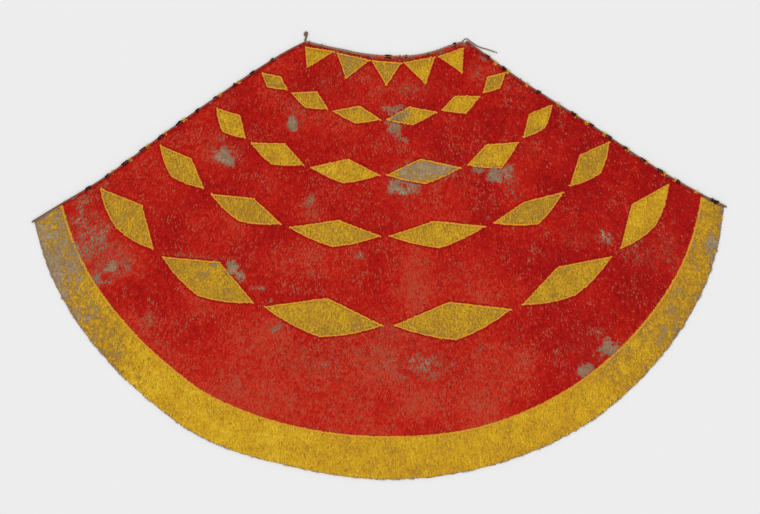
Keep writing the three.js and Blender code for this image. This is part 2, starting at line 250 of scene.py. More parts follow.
# Uneven tone, as broad clouds and as fine fibre, in every material of the cloak
uneven, uneven_in, uneven_out = new_group(
    "uneven_tone", {"Cloud size": 0.06, "Grain size": 0.003}, ["Cloud", "Grain"])
uneven_place = add_node(uneven, "ShaderNodeTexCoord").outputs["Object"]
for size_name, out_name, detail in (("Cloud size", "Cloud", 3.0), ("Grain size", "Grain", 2.0)):
    per_metre = add_node(uneven, "ShaderNodeMath", operation="DIVIDE", _0=1.0,
                         _1=uneven_in.outputs[size_name]).outputs[0]
    noise = add_node(uneven, "ShaderNodeTexNoise", Vector=uneven_place, Scale=per_metre, Detail=detail)
    uneven.links.new(noise.outputs["Fac"], uneven_out.inputs[out_name])


def new_material(name, roughness):
    """A new matt material, with its node tree and its shader."""
    material = bpy.data.materials.new(name)
    material.use_nodes = True
    shader = material.node_tree.nodes["Principled BSDF"]
    shader.inputs["Roughness"].default_value = roughness
    shader.inputs["Specular IOR Level"].default_value = 0.10
    return material, material.node_tree, shader


def add_uneven(tree, cloud_size, grain_size):
    """The group of uneven tone in a material, at its own two sizes."""
    node = add_node(tree, "ShaderNodeGroup", node_tree=uneven,
                    Cloud_size=cloud_size, Grain_size=grain_size)
    return node.outputs["Cloud"], node.outputs["Grain"]


def read_value(tree, name):
    """What a piece keeps for each of its points under a name."""
    return add_node(tree, "ShaderNodeAttribute", attribute_name=name).outputs["Fac"]


def mixed(tree, factor, first, second):
    """A colour between two others. Sockets 6 and 7 of the node hold its two colours."""
    node = add_node(tree, "ShaderNodeMix", data_type="RGBA", Factor=factor)
    for socket, value in ((node.inputs[6], first), (node.inputs[7], second)):
        if isinstance(value, bpy.types.NodeSocket):
            tree.links.new(value, socket)
        else:
            socket.default_value = (*value, 1)
    return node.outputs[2]


def calculated(tree, operation, first, second=0.5, third=0.5, held=True):
    """The result of a sum, held between 0 and 1 if it isn't told otherwise."""
    node = add_node(tree, "ShaderNodeMath", operation=operation, use_clamp=held,
                    _0=first, _1=second, _2=third)
    return node.outputs[0]


def cord_fibre(name, dark, pale):
    """Twisted bark fibre: painted shade in the grooves between the plies, with fine hairs along them."""
    material, tree, shader = new_material(name, 0.85)
    cloud, grain = add_uneven(tree, 0.03, 0.0012)
    # Painted shade: the colour is paler on each ply's crown and darker in the grooves between the plies
    crown = calculated(tree, "MULTIPLY_ADD", read_value(tree, "crown"), 0.35, 0.45)
    tone = calculated(tree, "MULTIPLY_ADD", grain, 0.7, calculated(tree, "SUBTRACT", crown, 0.3))
    aged = mixed(tree, cloud, tuple(0.75 * part for part in dark), dark)
    tree.links.new(mixed(tree, tone, aged, pale), shader.inputs["Base Color"])
    bump = add_node(tree, "ShaderNodeBump", Strength=0.6, Distance=0.0004, Height=grain)
    tree.links.new(bump.outputs["Normal"], shader.inputs["Normal"])
    return material


tie_fibre = cord_fibre("tie_fibre", CORD_DARK, CORD_PALE)


def in_frame(route, height):
    """A route of the drawing, in metres in the frame, at a height."""
    flat = np.asarray(route, float) * MM
    return np.column_stack([flat, np.full(len(flat), height)]) + DRAWING_MIDDLE


def knot_path(knot, loops, wraps):
    """Path of a flat knot whose cord goes round it in loops that cross one another."""
    turn = np.linspace(0, 2 * math.pi * KNOT_ROUND, KNOT_POINTS)
    swing = 1 + KNOT_SWING * np.cos(loops * turn)
    x = swing * np.sin(wraps * turn)
    y = swing * np.cos(wraps * turn)
    z = np.sin(loops * turn)
    cord = knot["cord"]
    size = (knot["wide"] - cord) / 2, (knot["long"] - cord) / 2
    path = np.column_stack([
        knot["x"] + x / abs(x).max() * size[0],
        knot["y"] + y / abs(y).max() * size[1],
        cord / 2 + KNOT_RAISED + knot["high"] * (1 + z) / 2,
    ])
    return path * MM + DRAWING_MIDDLE


left_tie_path = smooth_route(in_frame(LEFT_TIE_ROUTE, TIE_HEIGHT), TIE_STEP)
right_tie_path = smooth_route(in_frame(RIGHT_TIE_ROUTE, TIE_HEIGHT), TIE_STEP)
for side, path, knot in (("left", left_tie_path, LEFT_KNOT), ("right", right_tie_path, RIGHT_KNOT)):
    tie = laid_cord(f"neck_tie_{side}_cord", path, TIE_DIAMETER, TIE_LAY, tie_fibre)
    ball = laid_cord(f"neck_knot_{side}_cord", knot_path(knot, loops=3, wraps=2), knot["cord"] * MM,
                     TIE_LAY, tie_fibre)
    if side == "left":
        beside = path + np.array([LEFT_STRANDS_APART * MM, 0, 0])
        laid_cord("neck_tie_left_second_cord", beside, TIE_DIAMETER, TIE_LAY, tie_fibre)
    for piece, node in ((tie, f"neck_tie_{side}"), (ball, f"neck_knot_{side}")):
        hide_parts(node)

# Neck cord
# A thick cord of three plies that the top of the net is folded over and whipped to. It is paler
# than the ties, rubbed and dusty.
NECK_CORD_WIDTH = 7.5
NECK_LAY = 21 * MM
# Centre of the arcs of neck and hem, and the gap that the part leaves between its solids
APEX = np.array([23.82, 926.92]) * MM
SEAM = 0.3
# The cord's line is carried on past the net's corners, then cut to stay inside its solid's ends
PAST_NECK = 12
NECK_END = 2
NECK_POINTS = 230
# Colours of the neck cord's fibre: pale on the ply crowns, and dark in the grooves as painted shade
NECK_PALE = (0.460, 0.245, 0.150)
NECK_DARK = (0.165, 0.074, 0.040)
# Whipping thread: its own twist, points to a turn, and how it strays, as size and length in turns
WHIP_DIAMETER = 1.1 * MM
WHIP_LAY = 5 * MM
WHIP_POINTS = 9
WHIP_STRAYS = ((0.35, 3.1), (0.20, 1.3))
WHIP_RAISED = 0.2
NECK_WHIP_PITCH = 13 * MM
# Points nearer than this are one, and points this far below a slab's top still belong to it
SAME_POINT = 0.02 * MM
TOP_SLACK = 0.1 * MM


def outline_loops(node):
    """Outlines of a slab's top, each as points in order, the longest first."""
    mesh = bmesh.new()
    mesh.from_mesh(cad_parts[node].data)
    bmesh.ops.remove_doubles(mesh, verts=mesh.verts, dist=SAME_POINT)
    top = max(vertex.co.z for vertex in mesh.verts) - TOP_SLACK
    beside = {}
    for edge in mesh.edges:
        upward = [face for face in edge.link_faces if face.normal.z > 0.5]
        if len(upward) == 1 and all(vertex.co.z > top for vertex in edge.verts):
            a, b = edge.verts
            beside.setdefault(a, []).append(b)
            beside.setdefault(b, []).append(a)
    loops = []
    while beside:
        start = next(iter(beside))
        loop = [start]
        while True:
            onward = [vertex for vertex in beside[loop[-1]] if vertex not in loop[-2:] and vertex in beside]
            if len(loop) > 2 and start in beside[loop[-1]] or not onward:
                break
            loop.append(onward[0])
        loops.append(np.array([vertex.co[:2] for vertex in loop]))
        for vertex in loop:
            beside.pop(vertex, None)
    mesh.free()
    return sorted(loops, key=lambda loop: -length_along(loop)[-1])


def four_sides(loop):
    """A panel's outline as its neck, hem, left and right side, from its four sharpest corners."""
    ahead = np.roll(loop, -1, axis=0) - loop
    back = loop - np.roll(loop, 1, axis=0)
    turn = np.arctan2(back[:, 0] * ahead[:, 1] - back[:, 1] * ahead[:, 0], (back * ahead).sum(axis=1))
    corners = np.sort(np.argsort(-abs(turn))[:4])
    sides = []
    for start, end in zip(corners, np.roll(corners, -1)):
        count = (end - start) % len(loop)
        sides.append(loop[(start + np.arange(count + 1)) % len(loop)])
    left, first, second, right = sorted(sides, key=lambda side: side[len(side) // 2][0])
    neck, hem = sorted((first, second), key=lambda side: -side[len(side) // 2][1])
    across = [side if side[0, 0] < side[-1, 0] else side[::-1] for side in (neck, hem)]
    down = [side if side[0, 1] > side[-1, 1] else side[::-1] for side in (left, right)]
    return *across, *down


net_outline = outline_loops("net")[0]
neck_side, hem_side, left_side, right_side = four_sides(net_outline)
from_apex = (neck_side - APEX) / np.linalg.norm(neck_side - APEX, axis=1)[:, None]
neck_line = neck_side - from_apex * (SEAM + NECK_CORD_WIDTH) * MM
ahead = np.gradient(neck_line, axis=0)
ahead /= np.linalg.norm(ahead, axis=1)[:, None]
neck_line = neck_line + np.column_stack([ahead[:, 1], -ahead[:, 0]]) * NECK_CORD_WIDTH / 2 * MM
past = ahead[[0, -1]] * PAST_NECK * MM
neck_line = np.concatenate([neck_line[:1] - past[:1], neck_line, neck_line[-1:] + past[1:]])
neck_low, neck_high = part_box("neck_cord")
neck_x = np.linspace(neck_low.x + NECK_END * MM, neck_high.x - NECK_END * MM, NECK_POINTS)
neck_height = np.full(NECK_POINTS, NECK_CORD_WIDTH / 2 * MM)
neck_path = np.column_stack([neck_x, np.interp(neck_x, *neck_line.T), neck_height])
neck_fibre = cord_fibre("neck_cord_fibre", NECK_DARK, NECK_PALE)
neck_cord = laid_cord("neck_cord_laid", neck_path, NECK_CORD_WIDTH * MM, NECK_LAY, neck_fibre,
                      plies=3, sides=18)
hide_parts("neck_cord")


def whipping(name, path, radius, pitch, material):
    """Thin thread wound round a cord at a pitch, a little unevenly."""
    run = length_along(path)
    turns = int(run[-1] / pitch)
    at = np.linspace(pitch / 2, run[-1] - pitch / 2, turns * WHIP_POINTS)
    strayed = sum(size * np.sin(at / (length * pitch)) for size, length in WHIP_STRAYS)
    angle = 2 * math.pi * at / pitch + strayed
    centre = np.stack([np.interp(at, run, column) for column in path.T], axis=1)
    ahead = np.gradient(centre, axis=0)
    side = np.cross(ahead, (0, 0, 1))
    side /= np.linalg.norm(side, axis=1)[:, None]
    coil = centre + radius * np.cos(angle)[:, None] * side
    coil[:, 2] = np.maximum(coil[:, 2] + radius * np.sin(angle), WHIP_DIAMETER / 2)
    return laid_cord(name, coil, WHIP_DIAMETER, WHIP_LAY, material, sides=4)


neck_whip = whipping("neck_whipping", neck_path, (NECK_CORD_WIDTH / 2 + WHIP_RAISED) * MM,
                     NECK_WHIP_PITCH, tie_fibre)

# Front edges
# Each front edge of the net is bound to a cord, which is whipped with thread. Bundles of black
# feathers are tied over it at even steps, most with a few yellow ones beside them, and a few small
# black bundles are left on the neck cord.
BINDING_WIDTH = 8.0
EDGE_CORD_WIDTH = BINDING_WIDTH - 1.0
EDGE_WHIP_WIDTH = BINDING_WIDTH - 0.9
PAST_HEM = 9.0
EDGE_LAY = 16 * MM
EDGE_WHIP_PITCH = 8.5 * MM
SIDE_POINTS = 380
EDGE_POINTS = 400
# Colours of the edge cord's fibre: pale on the ply crowns, and dark in the grooves as painted shade
EDGE_PALE = (0.300, 0.150, 0.090)
EDGE_DARK = (0.075, 0.030, 0.020)
# Black bundles down each front edge, with their first place and spacing in mm from its top
TUFTS = {
    "left": {"first": 141, "spacing": 76, "count": 11, "lost": [], "seed": 11},
    "right": {"first": 96, "spacing": 70.5, "count": 14, "lost": [2, 4, 12], "seed": 12},
}
# Yellow bundles down each front edge, in mm from its top
YELLOW_AT = {
    "left": [273, 349, 499, 576, 653, 729, 804],
    "right": [132, 182, 262, 387, 460, 503, 574, 669, 746, 818, 860, 945],
}
BLACK_TUFT = {"feathers": 60, "long": 20, "wide": 7.0, "high": 9.6}
YELLOW_TUFT = {"feathers": 36, "long": 12, "wide": 9.0, "high": 9.4}
# Small black bundles on the neck cord, with their X in mm and their size
NECK_TUFTS_AT = [-238, -196, 25, 34, 70, 90, 166, 257]
NECK_TUFT_SIZES = [0.4, 0.35, 1.0, 1.1, 0.4, 0.7, 0.35, 0.9]
NECK_TUFT = {"feathers": 36, "long": 10, "wide": 7.5, "high": 9.6}
# Feathers of a bundle: height of their roots and width in mm, thickness, and length and height of
# their tips as shares of the bundle's
TUFT_ROOT_HEIGHT = (2.5, 6.5)
TUFT_FEATHER_WIDE = (3.2, 4.8)
TUFT_FEATHER_THICK = 0.7 * MM
TUFT_REACH = (0.40, 0.60)
TUFT_TIP_HEIGHT = (0.6, 1.0)

edge_fibre = cord_fibre("edge_cord_fibre", EDGE_DARK, EDGE_PALE)
edge_paths = {}
for name, side, outward in (("left", left_side, -1), ("right", right_side, 1)):
    line = even_points(side, SIDE_POINTS)
    ahead = np.gradient(line, axis=0)
    ahead /= np.linalg.norm(ahead, axis=1)[:, None]
    out = outward * np.column_stack([-ahead[:, 1], ahead[:, 0]])
    line = line + out * (SEAM + BINDING_WIDTH / 2) * MM
    line = np.concatenate([line, line[-1:] + ahead[-1:] * PAST_HEM * MM])
    height = np.full(EDGE_POINTS, BINDING_WIDTH / 2 * MM)
    edge_paths[name] = np.column_stack([even_points(line, EDGE_POINTS), height])
    cord = laid_cord(f"front_edge_{name}_cord", edge_paths[name], EDGE_CORD_WIDTH * MM, EDGE_LAY,
                     edge_fibre, sides=14)
    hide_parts(f"front_edge_{name}")
    whip = whipping(f"front_edge_{name}_whipping", edge_paths[name], EDGE_WHIP_WIDTH / 2 * MM,
                    EDGE_WHIP_PITCH, tie_fibre)

# A feather is its root, its tip and its two widest points, with four faces between them
FEATHER_FACES = np.array([(0, 1, 2), (0, 3, 1), (0, 2, 3), (1, 3, 2)])
FEATHER_WIDEST = 0.58
BARB_PLACES = np.array([(0.5, 0.0), (0.5, 1.0), (0.0, FEATHER_WIDEST), (1.0, FEATHER_WIDEST)])
MAP_MARGIN = 0.06


def feather_points(roots, tips, widths, rolls, thick):
    """Slender keeled feathers, each as its root, its tip and its two widest points."""
    ahead = tips - roots
    ahead /= np.linalg.norm(ahead, axis=1)[:, None]
    side = np.cross((0, 0, 1), ahead)
    side /= np.linalg.norm(side, axis=1)[:, None]
    above = np.cross(ahead, side)
    rolled = side * np.cos(rolls)[:, None] + above * np.sin(rolls)[:, None]
    keel = above * np.cos(rolls)[:, None] - side * np.sin(rolls)[:, None]
    widest = roots + (tips - roots) * FEATHER_WIDEST - keel * thick
    half = rolled * (widths / 2)[:, None]
    return np.stack([roots, tips, widest + half, widest - half], axis=1)


def add_feathers(name, points, shades, rims, material):
    """Many feathers as one piece. Each keeps its shade, whether it is in a rim, and its run from
    root to tip, and has a small place of its own on a map, next to others of like shade."""
    count = len(points)
    faces = (np.arange(count)[:, None, None] * 4 + FEATHER_FACES).reshape(-1, 3)
    piece = add_piece(name, points.reshape(-1, 3), faces, material)
    set_values(piece, "shade", np.repeat(shades, 4))
    set_values(piece, "rim", np.repeat(rims, 4))
    set_values(piece, "run", np.tile(BARB_PLACES[:, 1], count))
    rows = math.ceil(math.sqrt(count))
    rank = np.empty(count, int)
    rank[np.argsort(shades + 2 * rims)] = np.arange(count)
    row, column = rank // rows, rank % rows
    column = np.where(row % 2, rows - 1 - column, column)
    flipped = np.where((row % 2)[:, None], 1 - BARB_PLACES[:, 1], BARB_PLACES[:, 1])
    room = 1 - 2 * MAP_MARGIN
    across = column[:, None] + MAP_MARGIN + room * BARB_PLACES[:, 0]
    cell = np.stack([across, row[:, None] + MAP_MARGIN + room * flipped], axis=2)
    corners = faces.ravel()
    maps = {"barb": np.tile(BARB_PLACES, (count, 1)), "OFBake": cell.reshape(-1, 2) / rows}
    for map_name, places in maps.items():
        layer = piece.data.uv_layers.new(name=map_name)
        layer.uv.foreach_set("vector", places[corners].astype(np.float32).ravel())
    return piece


# Barbs of a feather, which slant from its quill to its tip, and how near a point is to its quill
barbs, barbs_in, barbs_out = new_group("feather_barbs", {"Barbs": 16.0}, ["Barb", "Quill"])
barb_place = add_node(barbs, "ShaderNodeUVMap", uv_map="barb").outputs["UV"]
barb_split = add_node(barbs, "ShaderNodeSeparateXYZ", Vector=barb_place)
off_middle = calculated(barbs, "SUBTRACT", barb_split.outputs["X"], 0.5, held=False)
from_quill = calculated(barbs, "ABSOLUTE", off_middle)
slant = calculated(barbs, "SUBTRACT", barb_split.outputs["Y"], from_quill, held=False)
phase = calculated(barbs, "MULTIPLY", slant, barbs_in.outputs["Barbs"], held=False)
swing = calculated(barbs, "PINGPONG", phase, 0.5)
barbs.links.new(calculated(barbs, "MULTIPLY", swing, 2.0), barbs_out.inputs["Barb"])
quill = add_node(barbs, "ShaderNodeMapRange", Value=from_quill, From_Max=0.07, To_Min=1.0, To_Max=0.0)
barbs.links.new(quill.outputs["Result"], barbs_out.inputs["Quill"])


def feather_vane(name, stops, rim_colour, painted_root_shade, cloud_size, roughness=0.66):
    """Soft body feathers of one colour. Their shade goes from dull to bright, painted shade darkens their
    roots under the feathers that lie over them, and those of a rim have a colour of their own."""
    material, tree, shader = new_material(name, roughness)
    cloud, grain = add_uneven(tree, cloud_size, 0.004)
    barb_node = add_node(tree, "ShaderNodeGroup", node_tree=barbs)
    shade = read_value(tree, "shade")
    for tone, strength in ((cloud, 0.30), (grain, 0.16)):
        change = calculated(tree, "MULTIPLY_ADD", tone, strength, -strength / 2)
        shade = calculated(tree, "ADD", shade, change)
    colour = mixed(tree, read_value(tree, "rim"), ramp(tree, shade, stops), rim_colour)
    # Painted shade: each feather is darker towards its root, under the feathers that overlap it
    run = calculated(tree, "MULTIPLY_ADD", read_value(tree, "run"), 1 - painted_root_shade, painted_root_shade)
    fleck = calculated(tree, "MULTIPLY_ADD", barb_node.outputs["Barb"], 0.16, 0.84)
    quill_dark = calculated(tree, "MULTIPLY_ADD", barb_node.outputs["Quill"], -0.12, 1.0)
    light = calculated(tree, "MULTIPLY", calculated(tree, "MULTIPLY", run, fleck), quill_dark)
    tree.links.new(mixed(tree, light, (0.0, 0.0, 0.0), colour), shader.inputs["Base Color"])
    rough = calculated(tree, "MULTIPLY_ADD", grain, 0.25, roughness - 0.12)
    tree.links.new(rough, shader.inputs["Roughness"])
    bump = add_node(tree, "ShaderNodeBump", Strength=0.35, Distance=0.0002, Height=barb_node.outputs["Barb"])
    tree.links.new(bump.outputs["Normal"], shader.inputs["Normal"])
    return material


# Colours of each kind of feather from its dullest shade to its brightest, and of those in a rim
BLACK_STOPS = [(0.0, (0.013, 0.002, 0.001)), (1.0, (0.036, 0.008, 0.004))]
BLACK_RIM = (0.020, 0.015, 0.015)
YELLOW_STOPS = [
    (0.0, (0.310, 0.200, 0.120)), (0.14, (0.450, 0.270, 0.090)), (0.24, (0.590, 0.305, 0.026)),
    (0.42, (0.750, 0.415, 0.027)), (0.7, (0.910, 0.530, 0.010)), (1.0, (0.980, 0.710, 0.060)),
]
RIM_ORANGE = (0.960, 0.400, 0.045)
black_vane = feather_vane("black_feather", BLACK_STOPS, BLACK_RIM, 0.6, 0.02, roughness=0.8)
yellow_vane = feather_vane("yellow_feather", YELLOW_STOPS, RIM_ORANGE, 0.62, 0.05)


def tuft_points(path, tuft, centres, rng, sizes=None):
    """Bundles of feathers tied over a cord at distances along it, fanned out the way it runs."""
    run = length_along(path)
    ahead = np.gradient(path, axis=0)
    made = []
    for i, centre in enumerate(centres):
        size = sizes[i] if sizes else rng.uniform(0.7, 1.2)
        count = int(tuft["feathers"] * size)
        along = centre * MM + (rng.random(count) - 0.65) * tuft["long"] * size * MM
        base = np.stack([np.interp(along, run, column) for column in path.T], axis=1)
        onward = np.stack([np.interp(along, run, column) for column in ahead.T], axis=1)
        onward /= np.linalg.norm(onward, axis=1)[:, None]
        side = np.cross(onward, (0, 0, 1))
        across = (rng.random(count) - 0.5)[:, None] * tuft["wide"] * MM
        base = base + side * across
        base[:, 2] = rng.uniform(*TUFT_ROOT_HEIGHT, count) * MM
        reach = rng.uniform(*TUFT_REACH, count)[:, None] * tuft["long"] * size * MM
        tips = base + onward * reach + side * (across * 0.5 + (rng.random(count) - 0.5)[:, None] * 4 * MM)
        tips[:, 2] = rng.uniform(*TUFT_TIP_HEIGHT, count) * tuft["high"] * MM
        widths = rng.uniform(*TUFT_FEATHER_WIDE, count) * MM
        made.append(feather_points(base, tips, widths, rng.normal(0, 0.5, count), TUFT_FEATHER_THICK))
    return np.concatenate(made)


for name, tufts in TUFTS.items():
    rng = np.random.default_rng(tufts["seed"])
    kept = [i for i in range(tufts["count"]) if i not in tufts["lost"]]
    centres = [tufts["first"] + i * tufts["spacing"] - BINDING_WIDTH for i in kept]
    black = tuft_points(edge_paths[name], BLACK_TUFT, centres, rng)
    piece = add_feathers(f"front_edge_{name}_black_tufts", black, rng.random(len(black)),
                         np.zeros(len(black)), black_vane)
    centres = [at - BINDING_WIDTH for at in YELLOW_AT[name]]
    yellow = tuft_points(edge_paths[name], YELLOW_TUFT, centres, rng)
    piece = add_feathers(f"front_edge_{name}_yellow_tufts", yellow, 0.8 + 0.2 * rng.random(len(yellow)),
                         np.zeros(len(yellow)), yellow_vane)

along_neck = np.interp(np.array(NECK_TUFTS_AT) * MM, neck_path[:, 0], length_along(neck_path)) / MM
black = tuft_points(neck_path, NECK_TUFT, along_neck, np.random.default_rng(13), NECK_TUFT_SIZES)
neck_tufts = add_feathers("neck_black_tufts", black, np.zeros(len(black)), np.zeros(len(black)),
                          black_vane)

# Net foundation
# A fine net of knotted bark fibre cord, shaped as one wide arc with a hollow for the neck, to which
# the feathers are tied. It shows as dusty brown where they are worn away.
NET_TOP = 1.5 * MM
NET_ROUGHNESS = 0.8 * MM
NET_ACROSS = 220
NET_DOWN = 84
# The net's hem wanders by this many mm, and this power keeps the rows above it in their places
HEM_WANDER = 8
HEM_POWER = 40
NET_PALE = (0.430, 0.280, 0.165)
NET_BROWN = (0.190, 0.125, 0.072)
NET_SHADED = (0.330, 0.215, 0.110)
NET_DUSTY = (0.560, 0.430, 0.290)
# Its colour under feathers that still cover it: the feathers' bases, darkened as painted shade beneath them
RED_DOWN_AND_SHADE = (0.380, 0.030, 0.018)
YELLOW_DOWN_AND_SHADE = (0.480, 0.300, 0.070)

# Worn places: middle, half width and half height in mm, turn in degrees, and share of feathers lost
WORN_PLACES = [
    # Clean bare spots, and thinner places round some of them
    (-520, 353, 33, 30, 0, 1.0), (-500, 330, 18, 16, 0, 0.6), (-296, 459, 17, 30, 8, 1.0),
    (-522, 378, 62, 50, 0, 0.36), (-563, 348, 30, 30, 0, 0.30), (-303, 486, 48, 56, 0, 0.28),
    (781, -297, 35, 32, 0, 1.0), (701, -377, 30, 27, 0, 1.0), (1130, 60, 26, 36, 0, 0.97),
    # Middle of the back, round the fourth lozenge of the upper two rows
    (62, 503, 50, 24, 0, 0.85), (56, 455, 26, 34, 0, 0.95), (92, 408, 14, 11, 0, 0.8),
    (150, 305, 112, 32, 0, 0.9), (58, 258, 33, 36, 0, 1.0), (122, 250, 34, 22, 0, 0.85),
    (20, 470, 40, 40, 0, 0.3), (60, 400, 60, 30, 0, 0.2), (106, 565, 56, 46, 0, 0.28),
    (105, 455, 50, 45, 0, 0.26),
    # Right of the middle, most of them under the fifth lozenge of the second row
    (332, 306, 32, 12, 0, 1.0), (398, 285, 34, 28, 0, 1.0), (439, 306, 22, 28, 0, 0.85),
    (448, 262, 26, 46, 0, 0.5), (345, 318, 60, 14, 0, 0.5), (371, 143, 17, 9, 0, 0.75),
    (520, 391, 50, 58, 0, 0.28), (276, -45, 80, 55, 0, 0.22), (497, 545, 50, 85, 0, 0.24),
    (633, 432, 70, 32, 0, 0.28),
    # Left of the middle
    (-228, 187, 48, 50, 0, 0.36), (-232, 205, 16, 14, 0, 0.6), (-231, -48, 11, 7, 0, 0.6),
    (-68, 13, 17, 13, 0, 0.65), (-367, -139, 8, 10, 0, 0.7), (-347, -231, 26, 10, 32, 0.8),
    # Left, round the lowest row's second lozenge
    (-503, -26, 26, 26, 0, 1.0), (-474, -62, 18, 22, 0, 0.9), (-561, -12, 20, 14, 0, 0.8),
    (-418, -95, 32, 12, 0, 0.65), (-600, -55, 26, 17, 0, 0.55), (-524, -106, 16, 12, 0, 0.55),
    (-666, 17, 88, 15, -4, 0.5), (-779, -204, 22, 30, 0, 0.55), (-756, -279, 15, 21, 0, 0.6),
    # Far left, between the border and the lowest row
    (-908, -28, 36, 15, 35, 0.95), (-959, -65, 24, 20, 0, 0.8), (-960, 27, 84, 90, 0, 0.50),
    (-1003, 100, 70, 100, 0, 0.46), (-1000, 192, 60, 32, 30, 0.36), (-950, 250, 44, 20, 30, 0.4),
    (-876, -7, 12, 22, 0, 0.5), (-905, -60, 60, 20, 35, 0.5),
    # Far right
    (673, 85, 122, 34, 0, 0.34), (775, 75, 28, 18, -40, 0.8), (845, 20, 60, 40, 0, 0.25),
    (955, 34, 92, 80, 0, 0.36), (560, 10, 50, 30, 0, 0.2), (658, 48, 44, 20, 0, 0.25),
    # Towards the hem
    (-180, -354, 17, 9, 0, 0.6), (78, -402, 26, 15, 0, 0.6), (122, -357, 54, 36, 0, 0.3),
    (252, -354, 15, 11, 0, 0.6), (40, -300, 170, 60, 0, 0.18), (620, -340, 40, 14, 0, 0.4),
    (760, -240, 30, 12, 0, 0.4), (600, -310, 14, 10, 0, 0.6), (300, -470, 220, 40, 12, 0.16),
    (262, -362, 165, 54, 0, 0.22), (165, -374, 70, 42, 0, 0.28), (727, -317, 90, 80, 0, 0.28),
    (-133, -352, 140, 58, 0, 0.20), (-277, -326, 100, 52, 0, 0.22), (20, -232, 70, 34, 0, 0.30),
    (-80, 12, 52, 46, 0, 0.24),
    # Broad and slight
    (-371, 560, 260, 140, 0, 0.13), (70, -326, 320, 120, 0, 0.15), (790, -300, 130, 110, 0, 0.14),
    (-970, 150, 120, 160, 0, 0.14), (870, 40, 130, 90, 0, 0.12),
    # Round the neck and beside the upper front edges
    (357, 687, 26, 15, -30, 0.6), (290, 735, 40, 10, -8, 0.55), (322, 640, 44, 40, 0, 0.40),
    (-70, 640, 60, 40, 0, 0.2), (-184, 627, 42, 42, 0, 0.26), (-532, 552, 48, 44, 0, 0.26),
    (130, 590, 90, 30, 0, 0.3), (-140, 600, 50, 40, 0, 0.2),
]
# Share of feathers lost from each lozenge, row by row from the neck, and from each triangle
LOZENGE_LOSS = [
    [0.28, 0.12, 0.30, 0.30, 0.06, 0.30],
    [0.10, 0.06, 0.24, 0.47, 0.08, 0.10],
    [0.34, 0.30, 0.32, 0.26, 0.40, 0.34],
    [0.38, 0.26, 0.34, 0.36, 0.28, 0.05],
]
TRIANGLE_LOSS = [0.08, 0.50, 0.45, 0.08, 0.06]
# How much brighter or duller the yellow of each is
LOZENGE_TONE = [
    [-0.18, -0.05, 0.03, 0.12, 0.02, -0.25],
    [0.04, -0.08, 0.12, 0.12, 0.00, 0.00],
    [0.02, -0.12, 0.02, 0.06, -0.12, -0.04],
    [0.00, -0.08, 0.00, 0.02, -0.04, 0.00],
]
TRIANGLE_TONE = [-0.02, 0.08, 0.03, 0.00, -0.04]
# Share lost from the border, by bearing in degrees from straight down the back
BORDER_LOSS = [
    (-60, 0.93), (-50, 0.90), (-47, 0.80), (-44, 0.54), (-38, 0.36), (-33, 0.20), (-30, 0.08),
    (-15, 0.06), (0, 0.05), (15, 0.06), (28, 0.07), (34, 0.24), (39, 0.38), (43, 0.42), (47, 0.30),
    (50, 0.50), (53, 0.46), (58, 0.34),
]
# The strip along the neck cord is thinner in stretches: middle and half width in mm, and the share gone
NECK_GONE = [
    (0, 320, 0.35), (-140, 36, 0.85), (-24, 16, 0.6), (112, 30, 0.75), (215, 34, 0.6), (-215, 18, 0.6),
]
# Share lost from the whole red field, and how far into the border its wear about doubles
FIELD_LOSS = 0.06
BORDER_WEAR_DEPTH = 100 * MM
# Clouds that make the worn places ragged, the field speckled and the border patchy: the share of
# each in the whole, its size in mm and its seed
RAGGED = ((0.40, 26, 1), (0.35, 9, 2), (0.25, 4.5, 6))
SPECKLED = ((0.50, 42, 3), (0.50, 8, 4))
PATCHY = ((0.40, 16, 9), (0.35, 7, 10), (0.25, 3.5, 12))


def cloudy(points, size, seed):
    """Random values from 0 to 1 that change smoothly over patches of a size in mm."""
    lattice = np.random.default_rng(seed).random((257, 257))
    place = points[:, :2] / (size * MM) + 64.0
    cell = np.floor(place).astype(int)
    share = place - cell
    share = share * share * (3 - 2 * share)
    x, y = (cell % 256).T
    low = lattice[x, y] * (1 - share[:, 0]) + lattice[x + 1, y] * share[:, 0]
    high = lattice[x, y + 1] * (1 - share[:, 0]) + lattice[x + 1, y + 1] * share[:, 0]
    return low * (1 - share[:, 1]) + high * share[:, 1]


def layered(points, layers):
    """Smooth random values of several sizes, added up by their shares."""
    return sum(share * cloudy(points, size, seed) for share, size, seed in layers)


def eased(values, low, high):
    """0 below low, 1 above high, and a smooth change between."""
    share = np.clip((values - low) / (high - low), 0, 1)
    return share * share * (3 - 2 * share)


# Points tested at once, so that a large panel doesn't fill the memory
POINTS_AT_ONCE = 20000


def inside(points, loop):
    """Whether each point lies inside an outline."""
    found = np.zeros(len(points), bool)
    near = ((points >= loop.min(axis=0)) & (points <= loop.max(axis=0))).all(axis=1)
    for chunk in np.array_split(np.flatnonzero(near), max(1, near.sum() // POINTS_AT_ONCE)):
        x, y = points[chunk, 0][:, None], points[chunk, 1][:, None]
        x0, y0 = loop.T
        x1, y1 = np.roll(loop, -1, axis=0).T
        spans = (y0 > y) != (y1 > y)
        rise = np.where(y1 == y0, 1.0, y1 - y0)
        found[chunk] = (spans & (x < x0 + (y - y0) / rise * (x1 - x0))).sum(axis=1) % 2 == 1
    return found


lozenge_names = [f"lozenge_r{row + 1}_{place + 1}" for row in range(4) for place in range(6)]
triangle_names = [f"neck_triangle_{place + 1}" for place in range(5)]
figure_outlines = [outline_loops(name)[0] for name in lozenge_names + triangle_names]
figure_loss = np.array([loss for row in LOZENGE_LOSS for loss in row] + TRIANGLE_LOSS)
field_outline = outline_loops("red_field")[0]
border_outline = outline_loops("hem_band")[0]
border_inner = even_points(four_sides(border_outline)[0], 180)
OUTSIDE, FIELD, BORDER = -1, 0, len(figure_outlines) + 1


